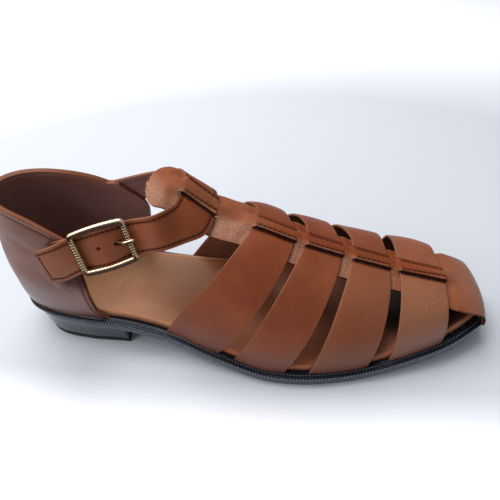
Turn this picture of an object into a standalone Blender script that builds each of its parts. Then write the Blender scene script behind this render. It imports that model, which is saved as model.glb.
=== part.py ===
"""Men's T-strap fisherman sandal, right shoe, as the pieces a maker puts together.

Sizes are in millimetres. A station runs along the sole from the back of the heel to the toe,
lateral is -Y, medial is +Y and the floor is Z = 0.
"""
import math

import bmesh
import bpy
import numpy as np

MM = 0.001
LENGTH = 287.4
END_TURN = 0.13
END_RUN = 30.0
CLEARANCE = 0.3

# Layers, from the floor up
OUTSOLE_THICK = 4.2
OUTSOLE_INSET = 0.7
WELT_THICK = 2.8
WELT_CHAMFER = 0.8
INSOLE_THICK = 4.0
INSOLE_ROUND = 1.2
INSOLE_GAP = 1.1
LAST_MARGIN = 5.0
LEATHER = 1.8
STRAP_THICK = 2.0
COUNTER_THICK = 2.6

# Heel block and its wearing layer
BREAST = 72.0
BREAST_HOLLOW = 2.5
LIFT_THICK = 3.6
HEEL_SEAT = 0.9
HEEL_TAPER = 1.6
LIFT_TAPER = 1.8

# Sole outline and underside, a row per section
SOLE_COLUMNS = ("station", "lateral", "medial", "underside")
SOLE = (
    (0.0, 0.0, 0.0, 17.0),
    (3.0, 12.0, 12.0, 16.9),
    (12.0, 23.4, 22.8, 16.6),
    (25.0, 29.6, 28.6, 16.0),
    (45.0, 33.2, 31.6, 14.9),
    (72.0, 34.2, 31.4, 12.9),
    (100.0, 38.4, 31.0, 9.3),
    (130.0, 47.6, 34.0, 4.7),
    (165.0, 55.2, 43.2, 0.0),
    (185.0, 55.2, 46.8, 0.0),
    (205.0, 52.0, 47.2, 0.0),
    (225.0, 46.8, 44.8, 1.3),
    (245.0, 40.0, 40.6, 3.7),
    (262.0, 33.0, 35.4, 6.2),
    (272.0, 27.2, 29.4, 7.9),
    (280.0, 21.4, 23.0, 9.3),
    (284.2, 18.0, 19.0, 10.0),
    (286.6, 12.6, 13.0, 10.4),
    (287.4, 0.0, 0.0, 10.6),
)

# Ridge of the last: its side shift and height, then how square the section is on each side
RIDGE_COLUMNS = ("station", "side", "height", "lateral_round", "medial_round")
RIDGE = (
    (95.0, 3.5, 95.8, 2.0, 2.2),
    (100.0, 3.4, 98.2, 2.0, 2.2),
    (106.0, 3.2, 98.6, 2.0, 2.3),
    (113.5, 3.0, 95.4, 2.0, 2.4),
    (122.0, 2.4, 87.9, 2.0, 2.6),
    (131.0, 1.6, 80.8, 2.0, 2.8),
    (141.0, 0.8, 77.2, 2.0, 3.05),
    (152.5, 0.2, 73.6, 2.0, 3.3),
    (173.0, 0.0, 64.2, 2.0, 2.95),
    (200.0, 0.0, 53.8, 2.0, 2.85),
    (230.0, 0.0, 43.8, 2.1, 3.5),
    (260.0, 0.5, 35.0, 2.8, 6.0),
    (270.0, 1.4, 32.0, 3.2, 5.0),
)
TAB_ROLL = 0.11
TAB_BOW = 3.6
TAB_BOW_HALF = 15.4
TAB_END = 131.0
VAMP_START = 152.0

# Half-width of the centre strap, a row per section from the tab to the toe
STRAP_COLUMNS = ("station", "half")
CENTRE_STRAP = (
    (95.6, 4.5),
    (96.6, 8.5),
    (99.0, 12.2),
    (103.0, 14.8),
    (109.0, 15.4),
    (148.0, 15.4),
    (174.0, 17.2),
    (232.0, 16.2),
    (255.0, 18.0),
    (266.0, 20.8),
    (287.4, 20.2),
)
TOE_START = 266.0
TOE_FRONT = 285.6
TOE_BOW = 0.006
TOE_REACH = 15.0
TOE_RISE = 10.0
STRIP_HALF = 4.6
STRIP_LEVEL = 4.4
STRIP_RUN = 5.0

# Cross bands: stations of each edge at the lateral sole, ridge and medial sole, and how late it sweeps back
BAND_COLUMNS = ("rear_lateral", "rear_top", "rear_medial", "rear_sweep",
                "front_lateral", "front_top", "front_medial", "front_sweep")
BANDS = (
    (99.8, 152.4, 102.0, 1.7, 132.8, 174.2, 135.0, 1.6),
    (142.0, 180.6, 143.0, 1.3, 171.0, 201.1, 173.0, 1.5),
    (184.8, 207.6, 182.0, 1.2, 217.4, 228.4, 216.0, 2.0),
    (229.4, 234.4, 226.0, 2.0, 259.2, 261.0, 256.0, 1.3),
)
BAND_CROWN = 0.4

# Heel counter: outline of its horizontal sections, top line and front edge
COUNTER_COLUMNS = ("height", "back", "half", "roundness")
COUNTER = (
    (18.0, 3.4, 30.4, 2.6),
    (35.0, 1.4, 31.6, 2.5),
    (50.0, 1.0, 31.8, 2.4),
    (65.0, 2.0, 31.0, 2.3),
    (82.0, 4.6, 28.6, 2.2),
    (92.0, 6.6, 26.0, 2.2),
    (99.0, 8.0, 25.0, 2.2),
)
COUNTER_FULL = 66.0
COLLAR_COLUMNS = ("station", "height")
COLLAR = ((7.0, 98.4), (14.5, 97.6), (27.0, 95.3), (38.8, 92.1), (50.5, 87.3), (61.0, 81.5))
FRONT_COLUMNS = ("height", "lateral", "medial")
COUNTER_FRONT = (
    (18.0, 66.0, 84.0),
    (23.6, 61.5, 79.5),
    (31.0, 57.8, 77.0),
    (41.0, 57.6, 77.5),
    (50.0, 58.4, 79.5),
    (60.0, 59.2, 81.0),
    (66.0, 59.7, 79.5),
    (74.0, 60.3, 72.0),
    (83.0, 61.0, 64.0),
)

# Ankle strap away from the buckle: upper and lower edge of each section
ANKLE_COLUMNS = ("upper_station", "upper_side", "upper_height", "lower_station", "lower_side", "lower_height")
STRAP_TIP = (
    (41.4, -33.0, 79.9, 45.6, -35.6, 60.3),
    (52.5, -33.6, 82.0, 54.6, -36.4, 62.6),
)
STRAP_LATERAL = (
    (106.5, -21.5, 97.0, 109.3, -27.0, 78.4),
    (111.1, -15.5, 96.0, 117.7, -21.5, 78.0),
)
STRAP_MEDIAL = (
    (109.5, 19.5, 95.0, 119.0, 22.5, 78.5),
    (101.0, 23.5, 92.0, 105.0, 27.5, 74.0),
    (90.0, 26.2, 88.6, 92.0, 30.2, 69.4),
)
STRAP_SEWN = (77.0, 66.0, 57.0, 48.0)
SEWN_UPPER = 84.0
SEWN_LOWER = 65.0
SEWN_SLOPE = 0.3
CROSSING_UPPER = 114.0
CROSSING_LOWER = 131.0
CROSSING_COLUMNS = ("upper_side", "lower_side")
CROSSING = ((-8.5, -14.5), (-3.0, -6.0), (3.0, 3.0), (8.5, 10.5), (14.0, 17.0))
CROSSING_BEND = 0.014
CROSSING_LEVEL = 2.1

# Buckle: centre, run of the strap to its tip and rise across it, then rods, pin and tab
BUCKLE_CENTRE = (79.2, -31.6, 82.8)
BUCKLE_RUN = (-0.945, -0.26, -0.2)
BUCKLE_RISE = (-0.2, 0.2, 0.955)
BUCKLE_LENGTH = 30.4
BUCKLE_WIDTH = 25.0
BUCKLE_CORNER = 2.4
ROD = 1.2
BAR = 1.1
BAR_DROP = 3.2
PIN = 0.9
STRAP_HALF = 9.4
WEAVE_RISE = 1.5
WEAVE_DIP = 2.6
SLOT_HALF = 1.5
SLOT_FRONT = 11.4
SLOT_REAR = 4.6
TAB_THICK = 1.4
TAB_HALF = 6.2
TAB_NOTCH = 1.7
TAB_STATIONS = (51.0, 55.0, 59.0)
TAB_HEIGHT = 79.5
TAB_SLOPE = 0.3


def column(table, names, name):
    """One named column of a table."""
    return np.array([row[names.index(name)] for row in table], float)


def monotone(xs, ys):
    """Smooth curve through a table that never overshoots its rows."""
    xs, ys = np.asarray(xs, float), np.asarray(ys, float)
    step = np.diff(xs)
    slope = np.diff(ys) / step
    tangent = np.zeros(len(xs))
    tangent[0], tangent[-1] = slope[0], slope[-1]
    for i in range(1, len(xs) - 1):
        if slope[i - 1] * slope[i] > 0:
            before, after = 2 * step[i] + step[i - 1], step[i] + 2 * step[i - 1]
            tangent[i] = (before + after) / (before / slope[i - 1] + after / slope[i])

    def value(x):
        x = np.clip(np.asarray(x, float), xs[0], xs[-1])
        i = np.clip(np.searchsorted(xs, x) - 1, 0, len(step) - 1)
        t = (x - xs[i]) / step[i]
        return (ys[i] * (1 + 2 * t) * (1 - t) ** 2 + ys[i + 1] * t * t * (3 - 2 * t)
                + step[i] * t * (1 - t) * (tangent[i] * (1 - t) - tangent[i + 1] * t))

    return value


def curve(table, names, across, value):
    """Smooth curve of one named column over another."""
    return monotone(column(table, names, across), column(table, names, value))


def spline(points, steps, closed=False):
    """Round curve through a row of points."""
    points = np.asarray(points, float)
    count = len(points)
    ahead = points[[(i + 1) % count if closed else min(i + 1, count - 1) for i in range(count)]]
    behind = points[[(i - 1) % count if closed else max(i - 1, 0) for i in range(count)]]
    reach_a = np.linalg.norm(ahead - points, axis=1, keepdims=True) + 1e-9
    reach_b = np.linalg.norm(points - behind, axis=1, keepdims=True) + 1e-9
    tangent = (ahead - points) / reach_a * reach_b + (points - behind) / reach_b * reach_a
    tangent = tangent / (reach_a + reach_b)
    out = []
    for i in range(count if closed else count - 1):
        j = (i + 1) % count
        span = np.linalg.norm(points[j] - points[i])
        for t in np.arange(steps) / steps:
            h = 3 * t * t - 2 * t ** 3
            out.append(points[i] * (1 - h) + points[j] * h
                       + span * (tangent[i] * t * (1 - t) ** 2 - tangent[j] * t * t * (1 - t)))
    if not closed:
        out.append(points[-1])
    return np.array(out)


class Outline:
    """Sole outline moved inward by a margin, read as half-widths along the station."""

    def __init__(self, margin):
        lateral = [(row[0], -row[1]) for row in SOLE]
        medial = [(row[0], row[2]) for row in SOLE[-2:0:-1]]
        loop = spline(lateral + medial, 24, closed=True)
        along = np.roll(loop, -1, axis=0) - np.roll(loop, 1, axis=0)
        inward = np.stack([-along[:, 1], along[:, 0]], axis=1)
        loop = loop + margin * inward / np.linalg.norm(inward, axis=1, keepdims=True)
        low, high = loop[:, 0].argmin(), loop[:, 0].argmax()
        self.start, self.end = loop[low, 0], loop[high, 0]
        self.lateral_side = self.half_loop(loop, low, high)
        self.medial_side = self.half_loop(loop[::-1], len(loop) - 1 - low, len(loop) - 1 - high)

    @staticmethod
    def half_loop(loop, low, high):
        """Outline points from the heel end to the toe end, with rising stations."""
        run = np.roll(loop, -low, axis=0)[:(high - low) % len(loop) + 1]
        keep = np.concatenate([[True], np.diff(np.maximum.accumulate(run[:, 0])) > 1e-6])
        return run[keep]

    def lateral(self, station):
        return np.interp(station, self.lateral_side[:, 0], self.lateral_side[:, 1])

    def medial(self, station):
        return np.interp(station, self.medial_side[:, 0], self.medial_side[:, 1])

    def rows(self, count, cols):
        """Rows of points across the sole, bowed out to the round ends of the outline."""
        middle, reach = (self.start + self.end) / 2, (self.end - self.start) / 2
        stations = middle - reach * np.cos(np.linspace(END_TURN, math.pi - END_TURN, count))
        shares = np.linspace(-1.0, 1.0, cols)
        grid = []
        for station in stations:
            heel = (stations[0] - self.start) * max(1.0 - station / END_RUN, 0.0) ** 3
            toe = (self.end - stations[-1]) * max(1.0 - (LENGTH - station) / END_RUN, 0.0) ** 3
            sides = np.interp(shares, (-1.0, 1.0), (self.lateral(station), self.medial(station)))
            grid.append(np.stack([station + (toe - heel) * (1 - shares ** 2), sides], axis=1))
        return np.array(grid)


SOLE_EDGE = Outline(0.0)
FEATHER = Outline(LAST_MARGIN)
CENTRE_SIDE = (SOLE_EDGE.lateral_side[:, 1].min() + SOLE_EDGE.medial_side[:, 1].max()) / 2
ORIGIN = np.array([(SOLE_EDGE.start + SOLE_EDGE.end) / 2, CENTRE_SIDE, 0.0])
underside = curve(SOLE, SOLE_COLUMNS, "station", "underside")
ridge_side = curve(RIDGE, RIDGE_COLUMNS, "station", "side")
ridge_height = curve(RIDGE, RIDGE_COLUMNS, "station", "height")
lateral_round = curve(RIDGE, RIDGE_COLUMNS, "station", "lateral_round")
medial_round = curve(RIDGE, RIDGE_COLUMNS, "station", "medial_round")
strap_half = curve(CENTRE_STRAP, STRAP_COLUMNS, "station", "half")
counter_back = curve(COUNTER, COUNTER_COLUMNS, "height", "back")
counter_half = curve(COUNTER, COUNTER_COLUMNS, "height", "half")
counter_round = curve(COUNTER, COUNTER_COLUMNS, "height", "roundness")
collar_height = curve(COLLAR, COLLAR_COLUMNS, "station", "height")
front_lateral = curve(COUNTER_FRONT, FRONT_COLUMNS, "height", "lateral")
front_medial = curve(COUNTER_FRONT, FRONT_COLUMNS, "height", "medial")


def welt_top(station):
    return underside(station) + OUTSOLE_THICK + CLEARANCE + WELT_THICK


def feather_height(station):
    return welt_top(station) + CLEARANCE


def last_point(station, side):
    """Point of the last's section at one station, above a side position."""
    centre = ridge_side(station)
    edge = FEATHER.lateral(station) if side < centre else FEATHER.medial(station)
    reach = np.clip(abs((side - centre) / (edge - centre)), 0.0, 1.0)
    base = feather_height(station)
    power = lateral_round(station) if side < centre else medial_round(station)
    rise = (1.0 - reach ** power) ** (1.0 / power)
    return np.array([station, side, base + (ridge_height(station) - base) * rise])


def last_girth(station, turn):
    """Point of the last at a turn from 0 (lateral sole) over 0.5 (ridge) to 1 (medial sole)."""
    centre = ridge_side(station)
    edge = FEATHER.lateral(station) if turn < 0.5 else FEATHER.medial(station)
    base = feather_height(station)
    power = lateral_round(station) if turn < 0.5 else medial_round(station)
    across, up = abs(math.cos(math.pi * turn)), max(math.sin(math.pi * turn), 0.0)
    ray = (across ** power + up ** power) ** (-1.0 / power)
    rise = (ridge_height(station) - base) * up * ray
    return np.array([station, centre + (edge - centre) * across * ray, base + rise])


def ease(x):
    """Soft step from 0 to 1."""
    x = np.clip(x, 0.0, 1.0)
    return x * x * (3 - 2 * x)


def centre_point(station, offset):
    """Point under the centre strap: its own rolled section at the ankle, the last's on the vamp."""
    side = ridge_side(station) + offset
    drop = TAB_BOW * (offset / TAB_BOW_HALF) ** 2
    ankle = np.array([station, side, ridge_height(station) + TAB_ROLL * offset - drop])
    share = ease((station - TAB_END) / (VAMP_START - TAB_END))
    return ankle * (1 - share) + last_point(station, side) * share


def grid_normals(grid):
    """Unit normals of a grid of points, pointing to the side of rows x columns."""
    across = np.cross(np.gradient(grid, axis=0), np.gradient(grid, axis=1))
    return across / (np.linalg.norm(across, axis=2, keepdims=True) + 1e-12)


def layer(grid, low, high, outward):
    """Two grids at a low and a high level over a sheet, with the high one on the outward side."""
    normal = grid_normals(grid)
    middle = normal[len(grid) // 2, grid.shape[1] // 2]
    if np.dot(middle, outward) < 0:
        normal = -normal
    low, high = np.broadcast_to(low, grid.shape[:2]), np.broadcast_to(high, grid.shape[:2])
    return grid + normal * low[..., None], grid + normal * high[..., None]


def place(points):
    """Stations and sides in millimetres to the shared frame in metres."""
    return (np.asarray(points, float) - ORIGIN) * MM


def new_object(name, bm):
    bmesh.ops.recalc_face_normals(bm, faces=bm.faces)
    mesh = bpy.data.meshes.new(name)
    bm.to_mesh(mesh)
    bm.free()
    obj = bpy.data.objects.new(name, mesh)
    bpy.context.scene.collection.objects.link(obj)
    return obj


def slab(name, *levels):
    """Closed solid through two or more grids of the same size, from the lowest to the highest."""
    bm = bmesh.new()
    verts = [[[bm.verts.new(p) for p in row] for row in place(level)] for level in levels]
    rows, cols = len(verts[0]), len(verts[0][0])
    for level in (verts[0], verts[-1]):
        for i in range(rows - 1):
            for j in range(cols - 1):
                bm.faces.new((level[i][j], level[i + 1][j], level[i + 1][j + 1], level[i][j + 1]))
    rim = [(i, 0) for i in range(rows)] + [(rows - 1, j) for j in range(1, cols)]
    rim += [(i, cols - 1) for i in range(rows - 2, -1, -1)] + [(0, j) for j in range(cols - 2, 0, -1)]
    for low, high in zip(verts, verts[1:]):
        for (a, b), (c, d) in zip(rim, rim[1:] + rim[:1]):
            bm.faces.new((low[a][b], low[c][d], high[c][d], high[a][b]))
    inner = [v for level in verts[1:-1] for row in level for v in row if not v.link_faces]
    bmesh.ops.delete(bm, geom=inner, context="VERTS")
    return new_object(name, bm)


def tube(name, path, radius, sides=10, closed=False):
    """Round rod along a path, closed on itself or capped."""
    path = np.asarray(path, float)
    count = len(path)
    bm = bmesh.new()
    rings = []
    side = None
    for i in range(count):
        ahead = path[(i + 1) % count] if closed else path[min(i + 1, count - 1)]
        behind = path[i - 1] if closed else path[max(i - 1, 0)]
        along = (ahead - behind) / np.linalg.norm(ahead - behind)
        if side is None:
            side = np.cross(along, (0.31, 0.22, 0.93))
        side = side - along * np.dot(side, along)
        side = side / np.linalg.norm(side)
        third = np.cross(along, side)
        angles = 2 * math.pi * np.arange(sides) / sides
        ring = [path[i] + radius * (math.cos(a) * side + math.sin(a) * third) for a in angles]
        rings.append([bm.verts.new(p) for p in place(ring)])
    for i in range(count if closed else count - 1):
        here, there = rings[i], rings[(i + 1) % count]
        shift = 0
        if closed and i == count - 1:
            gaps = [(here[0].co - v.co).length for v in there]
            shift = gaps.index(min(gaps))
        for k in range(sides):
            a, b = (k + shift) % sides, (k + 1 + shift) % sides
            bm.faces.new((here[k], here[(k + 1) % sides], there[b], there[a]))
    if not closed:
        bm.faces.new(rings[0])
        bm.faces.new(rings[-1])
    return new_object(name, bm)


def paint(obj, colour, roughness, metallic=0.0):
    material = bpy.data.materials.new(obj.name + "_finish")
    material.use_nodes = True
    shader = material.node_tree.nodes["Principled BSDF"]
    shader.inputs["Base Color"].default_value = (*colour, 1.0)
    shader.inputs["Roughness"].default_value = roughness
    shader.inputs["Metallic"].default_value = metallic
    obj.data.materials.append(material)
    return obj


def join(obj, tools, operation):
    """Boolean the hidden tool solids into one solid."""
    for tool in tools:
        tool.hide_render = True
        tool.display_type = "WIRE"
        step = obj.modifiers.new(operation.lower() + "_" + tool.name, "BOOLEAN")
        step.object = tool
        step.operation = operation
        step.solver = "EXACT"
    return obj


def sole_layer(name, margin, low, high, rows=36, cols=5, bevel=0.0):
    """Slab of the sole between two heights over the underside, with the sole's outline."""
    def sheet(inset, height):
        flat = Outline(margin + inset).rows(rows, cols)
        return np.dstack([flat, height(flat[..., 0])])

    levels = [sheet(0.0, low), sheet(0.0, high)]
    if bevel:
        levels = [sheet(0.0, low), sheet(0.0, lambda s: high(s) - bevel), sheet(bevel, high)]
    return slab(name, *levels)


def make_outsole():
    """Thin sole with arch, toe spring and a flat tread under the ball."""
    top = lambda s: underside(s) + OUTSOLE_THICK
    return paint(sole_layer("outsole", OUTSOLE_INSET, underside, top), (0.018, 0.018, 0.022), 0.35)


def make_welt():
    """Edge strip that carries the upper and stands proud of it."""
    low = lambda s: underside(s) + OUTSOLE_THICK + CLEARANCE
    return paint(sole_layer("welt", 0.0, low, welt_top, bevel=WELT_CHAMFER), (0.022, 0.022, 0.026), 0.4)


def make_insole():
    """Footbed inside the counter and the bands, with a rounded rim."""
    margin = LAST_MARGIN + INSOLE_GAP
    top = lambda s: feather_height(s) + INSOLE_THICK
    insole = sole_layer("insole", margin, feather_height, top, bevel=INSOLE_ROUND)
    return paint(insole, (0.33, 0.15, 0.072), 0.5)


def heel_sheet(inset, height):
    """Sheet of the heel's outline up to its hollowed breast."""
    edge = Outline(inset)
    shares = np.linspace(-1.0, 1.0, 5)
    turns = np.linspace(0.17, math.pi / 2, 16)
    stations = edge.start + (BREAST - edge.start) * (1 - np.cos(turns))
    grid = []
    for station in stations:
        bow = (stations[0] - edge.start) * max(1.0 - station / END_RUN, 0.0) ** 3
        bow = bow + BREAST_HOLLOW * (station / BREAST) ** 6
        sides = np.interp(shares, (-1.0, 1.0), (edge.lateral(station), edge.medial(station)))
        along = station - bow * (1 - shares ** 2)
        grid.append(np.stack([along, sides, height(along)], axis=1))
    return np.array(grid)


def make_heel():
    """Tapered heel block under the seat, over its wearing layer."""
    def level(height):
        return lambda station: np.full_like(station, height)

    def seat(station):
        return underside(station) - CLEARANCE

    block = slab("heel", heel_sheet(HEEL_TAPER, level(LIFT_THICK + CLEARANCE)), heel_sheet(HEEL_SEAT, seat))
    lift = slab("top_lift", heel_sheet(LIFT_TAPER, level(0.0)), heel_sheet(HEEL_TAPER, level(LIFT_THICK)))
    paint(block, (0.02, 0.02, 0.024), 0.35)
    paint(lift, (0.012, 0.012, 0.013), 0.6)


def counter_side(station, height):
    """Half-width of the counter's outer face."""
    back, power = counter_back(height), counter_round(height)
    reach = np.clip((COUNTER_FULL - station) / (COUNTER_FULL - back), 0.0, 1.0)
    return counter_half(height) * (1.0 - reach ** power) ** (1.0 / power)


def make_counter():
    """Wall round the heel, open in front, with a dipped top line."""
    grid = []
    for turn in np.linspace(-math.pi / 2, math.pi / 2, 37):
        front_of = front_lateral if turn < 0 else front_medial
        rib = []
        for share in np.linspace(0.0, 1.0, 9):
            height, station = 50.0, 30.0
            for _ in range(12):
                back, front = counter_back(height), front_of(height)
                station = front - (front - back) * math.cos(turn)
                base = feather_height(station)
                height = base + share * (collar_height(station) - base)
            side = counter_side(station, height) * math.copysign(1.0, turn)
            rib.append((station, side if abs(turn) > 1e-6 else 0.0, height))
        grid.append(rib)
    outer = np.array(grid)
    return slab("counter", *layer(outer, -COUNTER_THICK, 0.0, (-1.0, 0.0, 0.0)))


def centre_sheet():
    """Sheet of the centre strap from the tab over the instep and down the toe."""
    half_shares = np.linspace(-1.0, 1.0, 7)
    tab = [row[0] for row in CENTRE_STRAP if row[0] < CROSSING_UPPER]
    stations = np.concatenate([tab, np.linspace(CROSSING_UPPER, TOE_START, 36)])
    grid = [[centre_point(s, share * strap_half(s)) for share in half_shares] for s in stations]
    half_toe = strap_half(TOE_START), strap_half(LENGTH)
    for t in np.linspace(0.0, 1.0, 10)[1:]:
        row = []
        for share in half_shares:
            side = ridge_side(TOE_START) + share * ((1 - t) * half_toe[0] + t * half_toe[1])
            start = last_point(TOE_START, side)
            along = start - last_point(TOE_START - 2.0, side)
            along = along / np.linalg.norm(along)
            end_station = TOE_FRONT - TOE_BOW * side ** 2
            end = np.array([end_station, side, feather_height(end_station)])
            reach = min(TOE_REACH, 0.75 * (end_station - TOE_START))
            lead, rise = start + along * reach, end + np.array([0.0, 0.0, TOE_RISE])
            first, second = (1 - t) ** 3 * start + t ** 3 * end, (1 - t) * lead + t * rise
            row.append(first + 3 * t * (1 - t) * second)
        grid.append(row)
    return np.array(grid)


def band_sheet(band):
    """Sheet of one cross band, swept back from the ridge down to both sides of the sole."""
    row = dict(zip(BAND_COLUMNS, band))
    grid = []
    for turn in np.linspace(0.0, 1.0, 27):
        side = "lateral" if turn < 0.5 else "medial"
        ends = []
        for edge in ("rear", "front"):
            top = row[edge + "_top"]
            ends.append(top + (row[edge + "_" + side] - top) * abs(1 - 2 * turn) ** row[edge + "_sweep"])
        grid.append([last_girth(s, turn) for s in np.linspace(ends[0], ends[1], 6)])
    return np.array(grid)


def make_bands():
    """Four bands that climb over the centre strap's wings."""
    solids = []
    for i, band in enumerate(BANDS):
        grid = band_sheet(band)
        over = ease((33.0 - np.abs(grid[..., 1])) / 14.0)
        crown = BAND_CROWN * (1 - np.linspace(-1, 1, grid.shape[1]) ** 2)
        low = 0.45 * LEATHER * over
        high = LEATHER * (1 + over) + crown
        solids.append(slab("band_%d" % (i + 1), *layer(grid, low, high, (0.0, 0.0, 1.0))))
    return solids


def make_strips():
    """Narrow strip of the centre strap over each band and over the ankle strap."""
    solids = []
    tops = BAND_COLUMNS.index("rear_top"), BAND_COLUMNS.index("front_top")
    spans = [(CROSSING_UPPER, CROSSING_LOWER)] + [(band[tops[0]], band[tops[1]]) for band in BANDS]
    for i, (rear, front) in enumerate(spans):
        stations = np.linspace(rear - STRIP_RUN, front + STRIP_RUN, 14)
        grid = np.array([[centre_point(s, v) for v in np.linspace(-STRIP_HALF, STRIP_HALF, 4)]
                         for s in stations])
        swell = ease((stations - stations[0]) / STRIP_RUN) * ease((stations[-1] - stations) / STRIP_RUN)
        high = 0.8 * LEATHER + (STRIP_LEVEL - 0.8 * LEATHER) * swell[:, None]
        solids.append(slab("strip_%d" % i, *layer(grid, 0.4 * LEATHER, high, (0.0, 0.0, 1.0))))
    return solids


class Buckle:
    """Axes of the buckle: run along the strap to its tip, rise across it, out from the foot."""
    centre = np.array(BUCKLE_CENTRE)
    run = np.array(BUCKLE_RUN) / np.linalg.norm(BUCKLE_RUN)
    rise = np.array(BUCKLE_RISE) - run * np.dot(BUCKLE_RISE, run)
    rise = rise / np.linalg.norm(rise)
    out = np.cross(run, rise)
    out = out * math.copysign(1.0, -out[1])

    @classmethod
    def at(cls, run, rise, out):
        return cls.centre + cls.run * run + cls.rise * rise + cls.out * out


def weave(run):
    """Level of the strap's middle through the buckle: over the centre bar, under the end bars."""
    return WEAVE_RISE - (WEAVE_RISE + WEAVE_DIP) * ease(abs(run) / (BUCKLE_LENGTH / 2 - ROD))


def ankle_sheet():
    """Sheet of the ankle strap from its tip through the buckle, over the instep to the counter."""
    upper, lower = [], []
    for row in STRAP_TIP:
        upper.append(row[:3])
        lower.append(row[3:])
    for run in (15.0, 11.0, 7.5, 4.0, 0.0, -4.0, -7.5, -11.0, -15.0):
        upper.append(Buckle.at(run, STRAP_HALF, weave(run)))
        lower.append(Buckle.at(run, -STRAP_HALF, weave(run)))
    for row in STRAP_LATERAL:
        upper.append(row[:3])
        lower.append(row[3:])
    for row in CROSSING:
        for edge, station, side in ((upper, CROSSING_UPPER, row[0]), (lower, CROSSING_LOWER, row[1])):
            offset = side - ridge_side(station)
            spot = centre_point(station - CROSSING_BEND * offset ** 2, offset)
            lean = np.array([0.62, 0.02 * offset, 0.78])
            edge.append(spot + CROSSING_LEVEL * lean / np.linalg.norm(lean))
    for row in STRAP_MEDIAL:
        upper.append(row[:3])
        lower.append(row[3:])
    for station in STRAP_SEWN:
        drop = SEWN_SLOPE * (STRAP_SEWN[0] - station)
        for edge, height in ((upper, SEWN_UPPER - drop), (lower, SEWN_LOWER - drop)):
            edge.append((station, counter_side(station, height) + 0.1, height))
    upper, lower = spline(upper, 2), spline(lower, 2)
    shares = np.linspace(0.0, 1.0, 5)[None, :, None]
    return lower[:, None] * (1 - shares) + upper[:, None] * shares


def make_ankle_strap():
    grid = ankle_sheet()
    normal_out = (0.6, 0.0, 0.8)
    return slab("ankle_strap", *layer(grid, -STRAP_THICK / 2, STRAP_THICK / 2, normal_out))


def make_slot():
    """Tool for the strap hole that the pin comes through."""
    rises = (-SLOT_HALF, SLOT_HALF)
    grid = np.array([[Buckle.at(-run, rise, 0.0) for rise in rises] for run in (SLOT_REAR, SLOT_FRONT)])
    return slab("slot_tool", grid - Buckle.out * 9.0, grid + Buckle.out * 9.0)


def make_upper():
    """Counter, ankle strap, centre strap and bands as one leather solid."""
    upper = make_counter()
    upper.name = "upper"
    centre = slab("centre_strap", *layer(centre_sheet(), 0.0, LEATHER, (0.0, 0.0, 1.0)))
    join(upper, [make_ankle_strap(), centre] + make_bands() + make_strips(), "UNION")
    join(upper, [make_slot()], "DIFFERENCE")
    return paint(upper, (0.215, 0.064, 0.03), 0.42)


def frame_path():
    """Rounded rectangle of the buckle's frame, along its rods."""
    half_run, half_rise = BUCKLE_LENGTH / 2 - ROD, BUCKLE_WIDTH / 2 - ROD
    path = []
    for sign_run, sign_rise, turn in ((1, 1, 0.0), (-1, 1, 0.5), (-1, -1, 1.0), (1, -1, 1.5)):
        for angle in np.linspace(turn, turn + 0.5, 4) * math.pi:
            run = sign_run * (half_run - BUCKLE_CORNER) + BUCKLE_CORNER * math.cos(angle)
            rise = sign_rise * (half_rise - BUCKLE_CORNER) + BUCKLE_CORNER * math.sin(angle)
            path.append(Buckle.at(run, rise, 0.0))
    return path


def make_buckle():
    """Frame with its dropped centre bar, and the pin hung on that bar."""
    frame = tube("buckle_frame", frame_path(), ROD, closed=True)
    half = BUCKLE_WIDTH / 2 - ROD
    profile = ((-half, 0.0), (-half + 0.3, -BAR_DROP * 0.75), (-half + 1.6, -BAR_DROP))
    profile += tuple((-rise, out) for rise, out in reversed(profile))
    bar = tube("centre_bar", [Buckle.at(0.0, rise, out) for rise, out in profile], BAR)
    join(frame, [bar], "UNION")
    paint(frame, (0.78, 0.6, 0.32), 0.22, 1.0)

    hook = BAR + CLEARANCE + PIN
    path = []
    for angle in np.radians(np.linspace(-120.0, 150.0, 13)):
        path.append(Buckle.at(hook * math.cos(angle), 0.0, -BAR_DROP + hook * math.sin(angle)))
    over = ROD + CLEARANCE + PIN
    bends = ((-4.4, -2.0), (-6.6, -1.5), (-9.0, 0.6), (-11.2, over - 0.3), (-14.0, over), (-16.0, over + 0.1))
    for run, out in bends:
        path.append(Buckle.at(run, 0.0, out))
    paint(tube("buckle_pin", path, PIN, sides=8), (0.78, 0.6, 0.32), 0.22, 1.0)


def make_tab():
    """Leather tab on the counter, wrapped round the centre bar and notched for the pin."""
    rows = []
    for station in TAB_STATIONS:
        middle = TAB_HEIGHT - TAB_SLOPE * (TAB_STATIONS[-1] - station)
        pair = []
        for height in (middle - TAB_HALF, middle + TAB_HALF):
            pair.append((station, -(counter_side(station, height) + CLEARANCE + 0.75 * TAB_THICK), height))
        rows.append(pair)
    wrap = BAR + CLEARANCE + TAB_THICK / 2
    bends = [(9.0, -BAR_DROP - wrap), (5.0, -BAR_DROP - wrap)]
    for angle in np.radians(np.linspace(-90.0, -315.0, 14)):
        bends.append((wrap * math.cos(angle), -BAR_DROP + wrap * math.sin(angle)))
    for run, out in bends:
        rows.append([Buckle.at(run, rise, out) for rise in (-TAB_HALF, TAB_HALF)])
    grid = np.array(rows)
    shares = np.linspace(0.0, 1.0, 3)[None, :, None]
    grid = grid[:, :1] * (1 - shares) + grid[:, 1:] * shares
    tab = slab("buckle_tab", *layer(grid, -TAB_THICK / 2, TAB_THICK / 2, Buckle.out))
    notch = np.array([[Buckle.at(run, rise, 0.0) for rise in (-TAB_NOTCH, TAB_NOTCH)] for run in (-6.0, 4.0)])
    tool = slab("notch_tool", notch - Buckle.out * 9.0, notch + Buckle.out * 4.0)
    join(tab, [tool], "DIFFERENCE")
    paint(tab, (0.18, 0.052, 0.025), 0.45)


def clear_scene():
    for obj in list(bpy.data.objects):
        bpy.data.objects.remove(obj, do_unlink=True)


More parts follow.
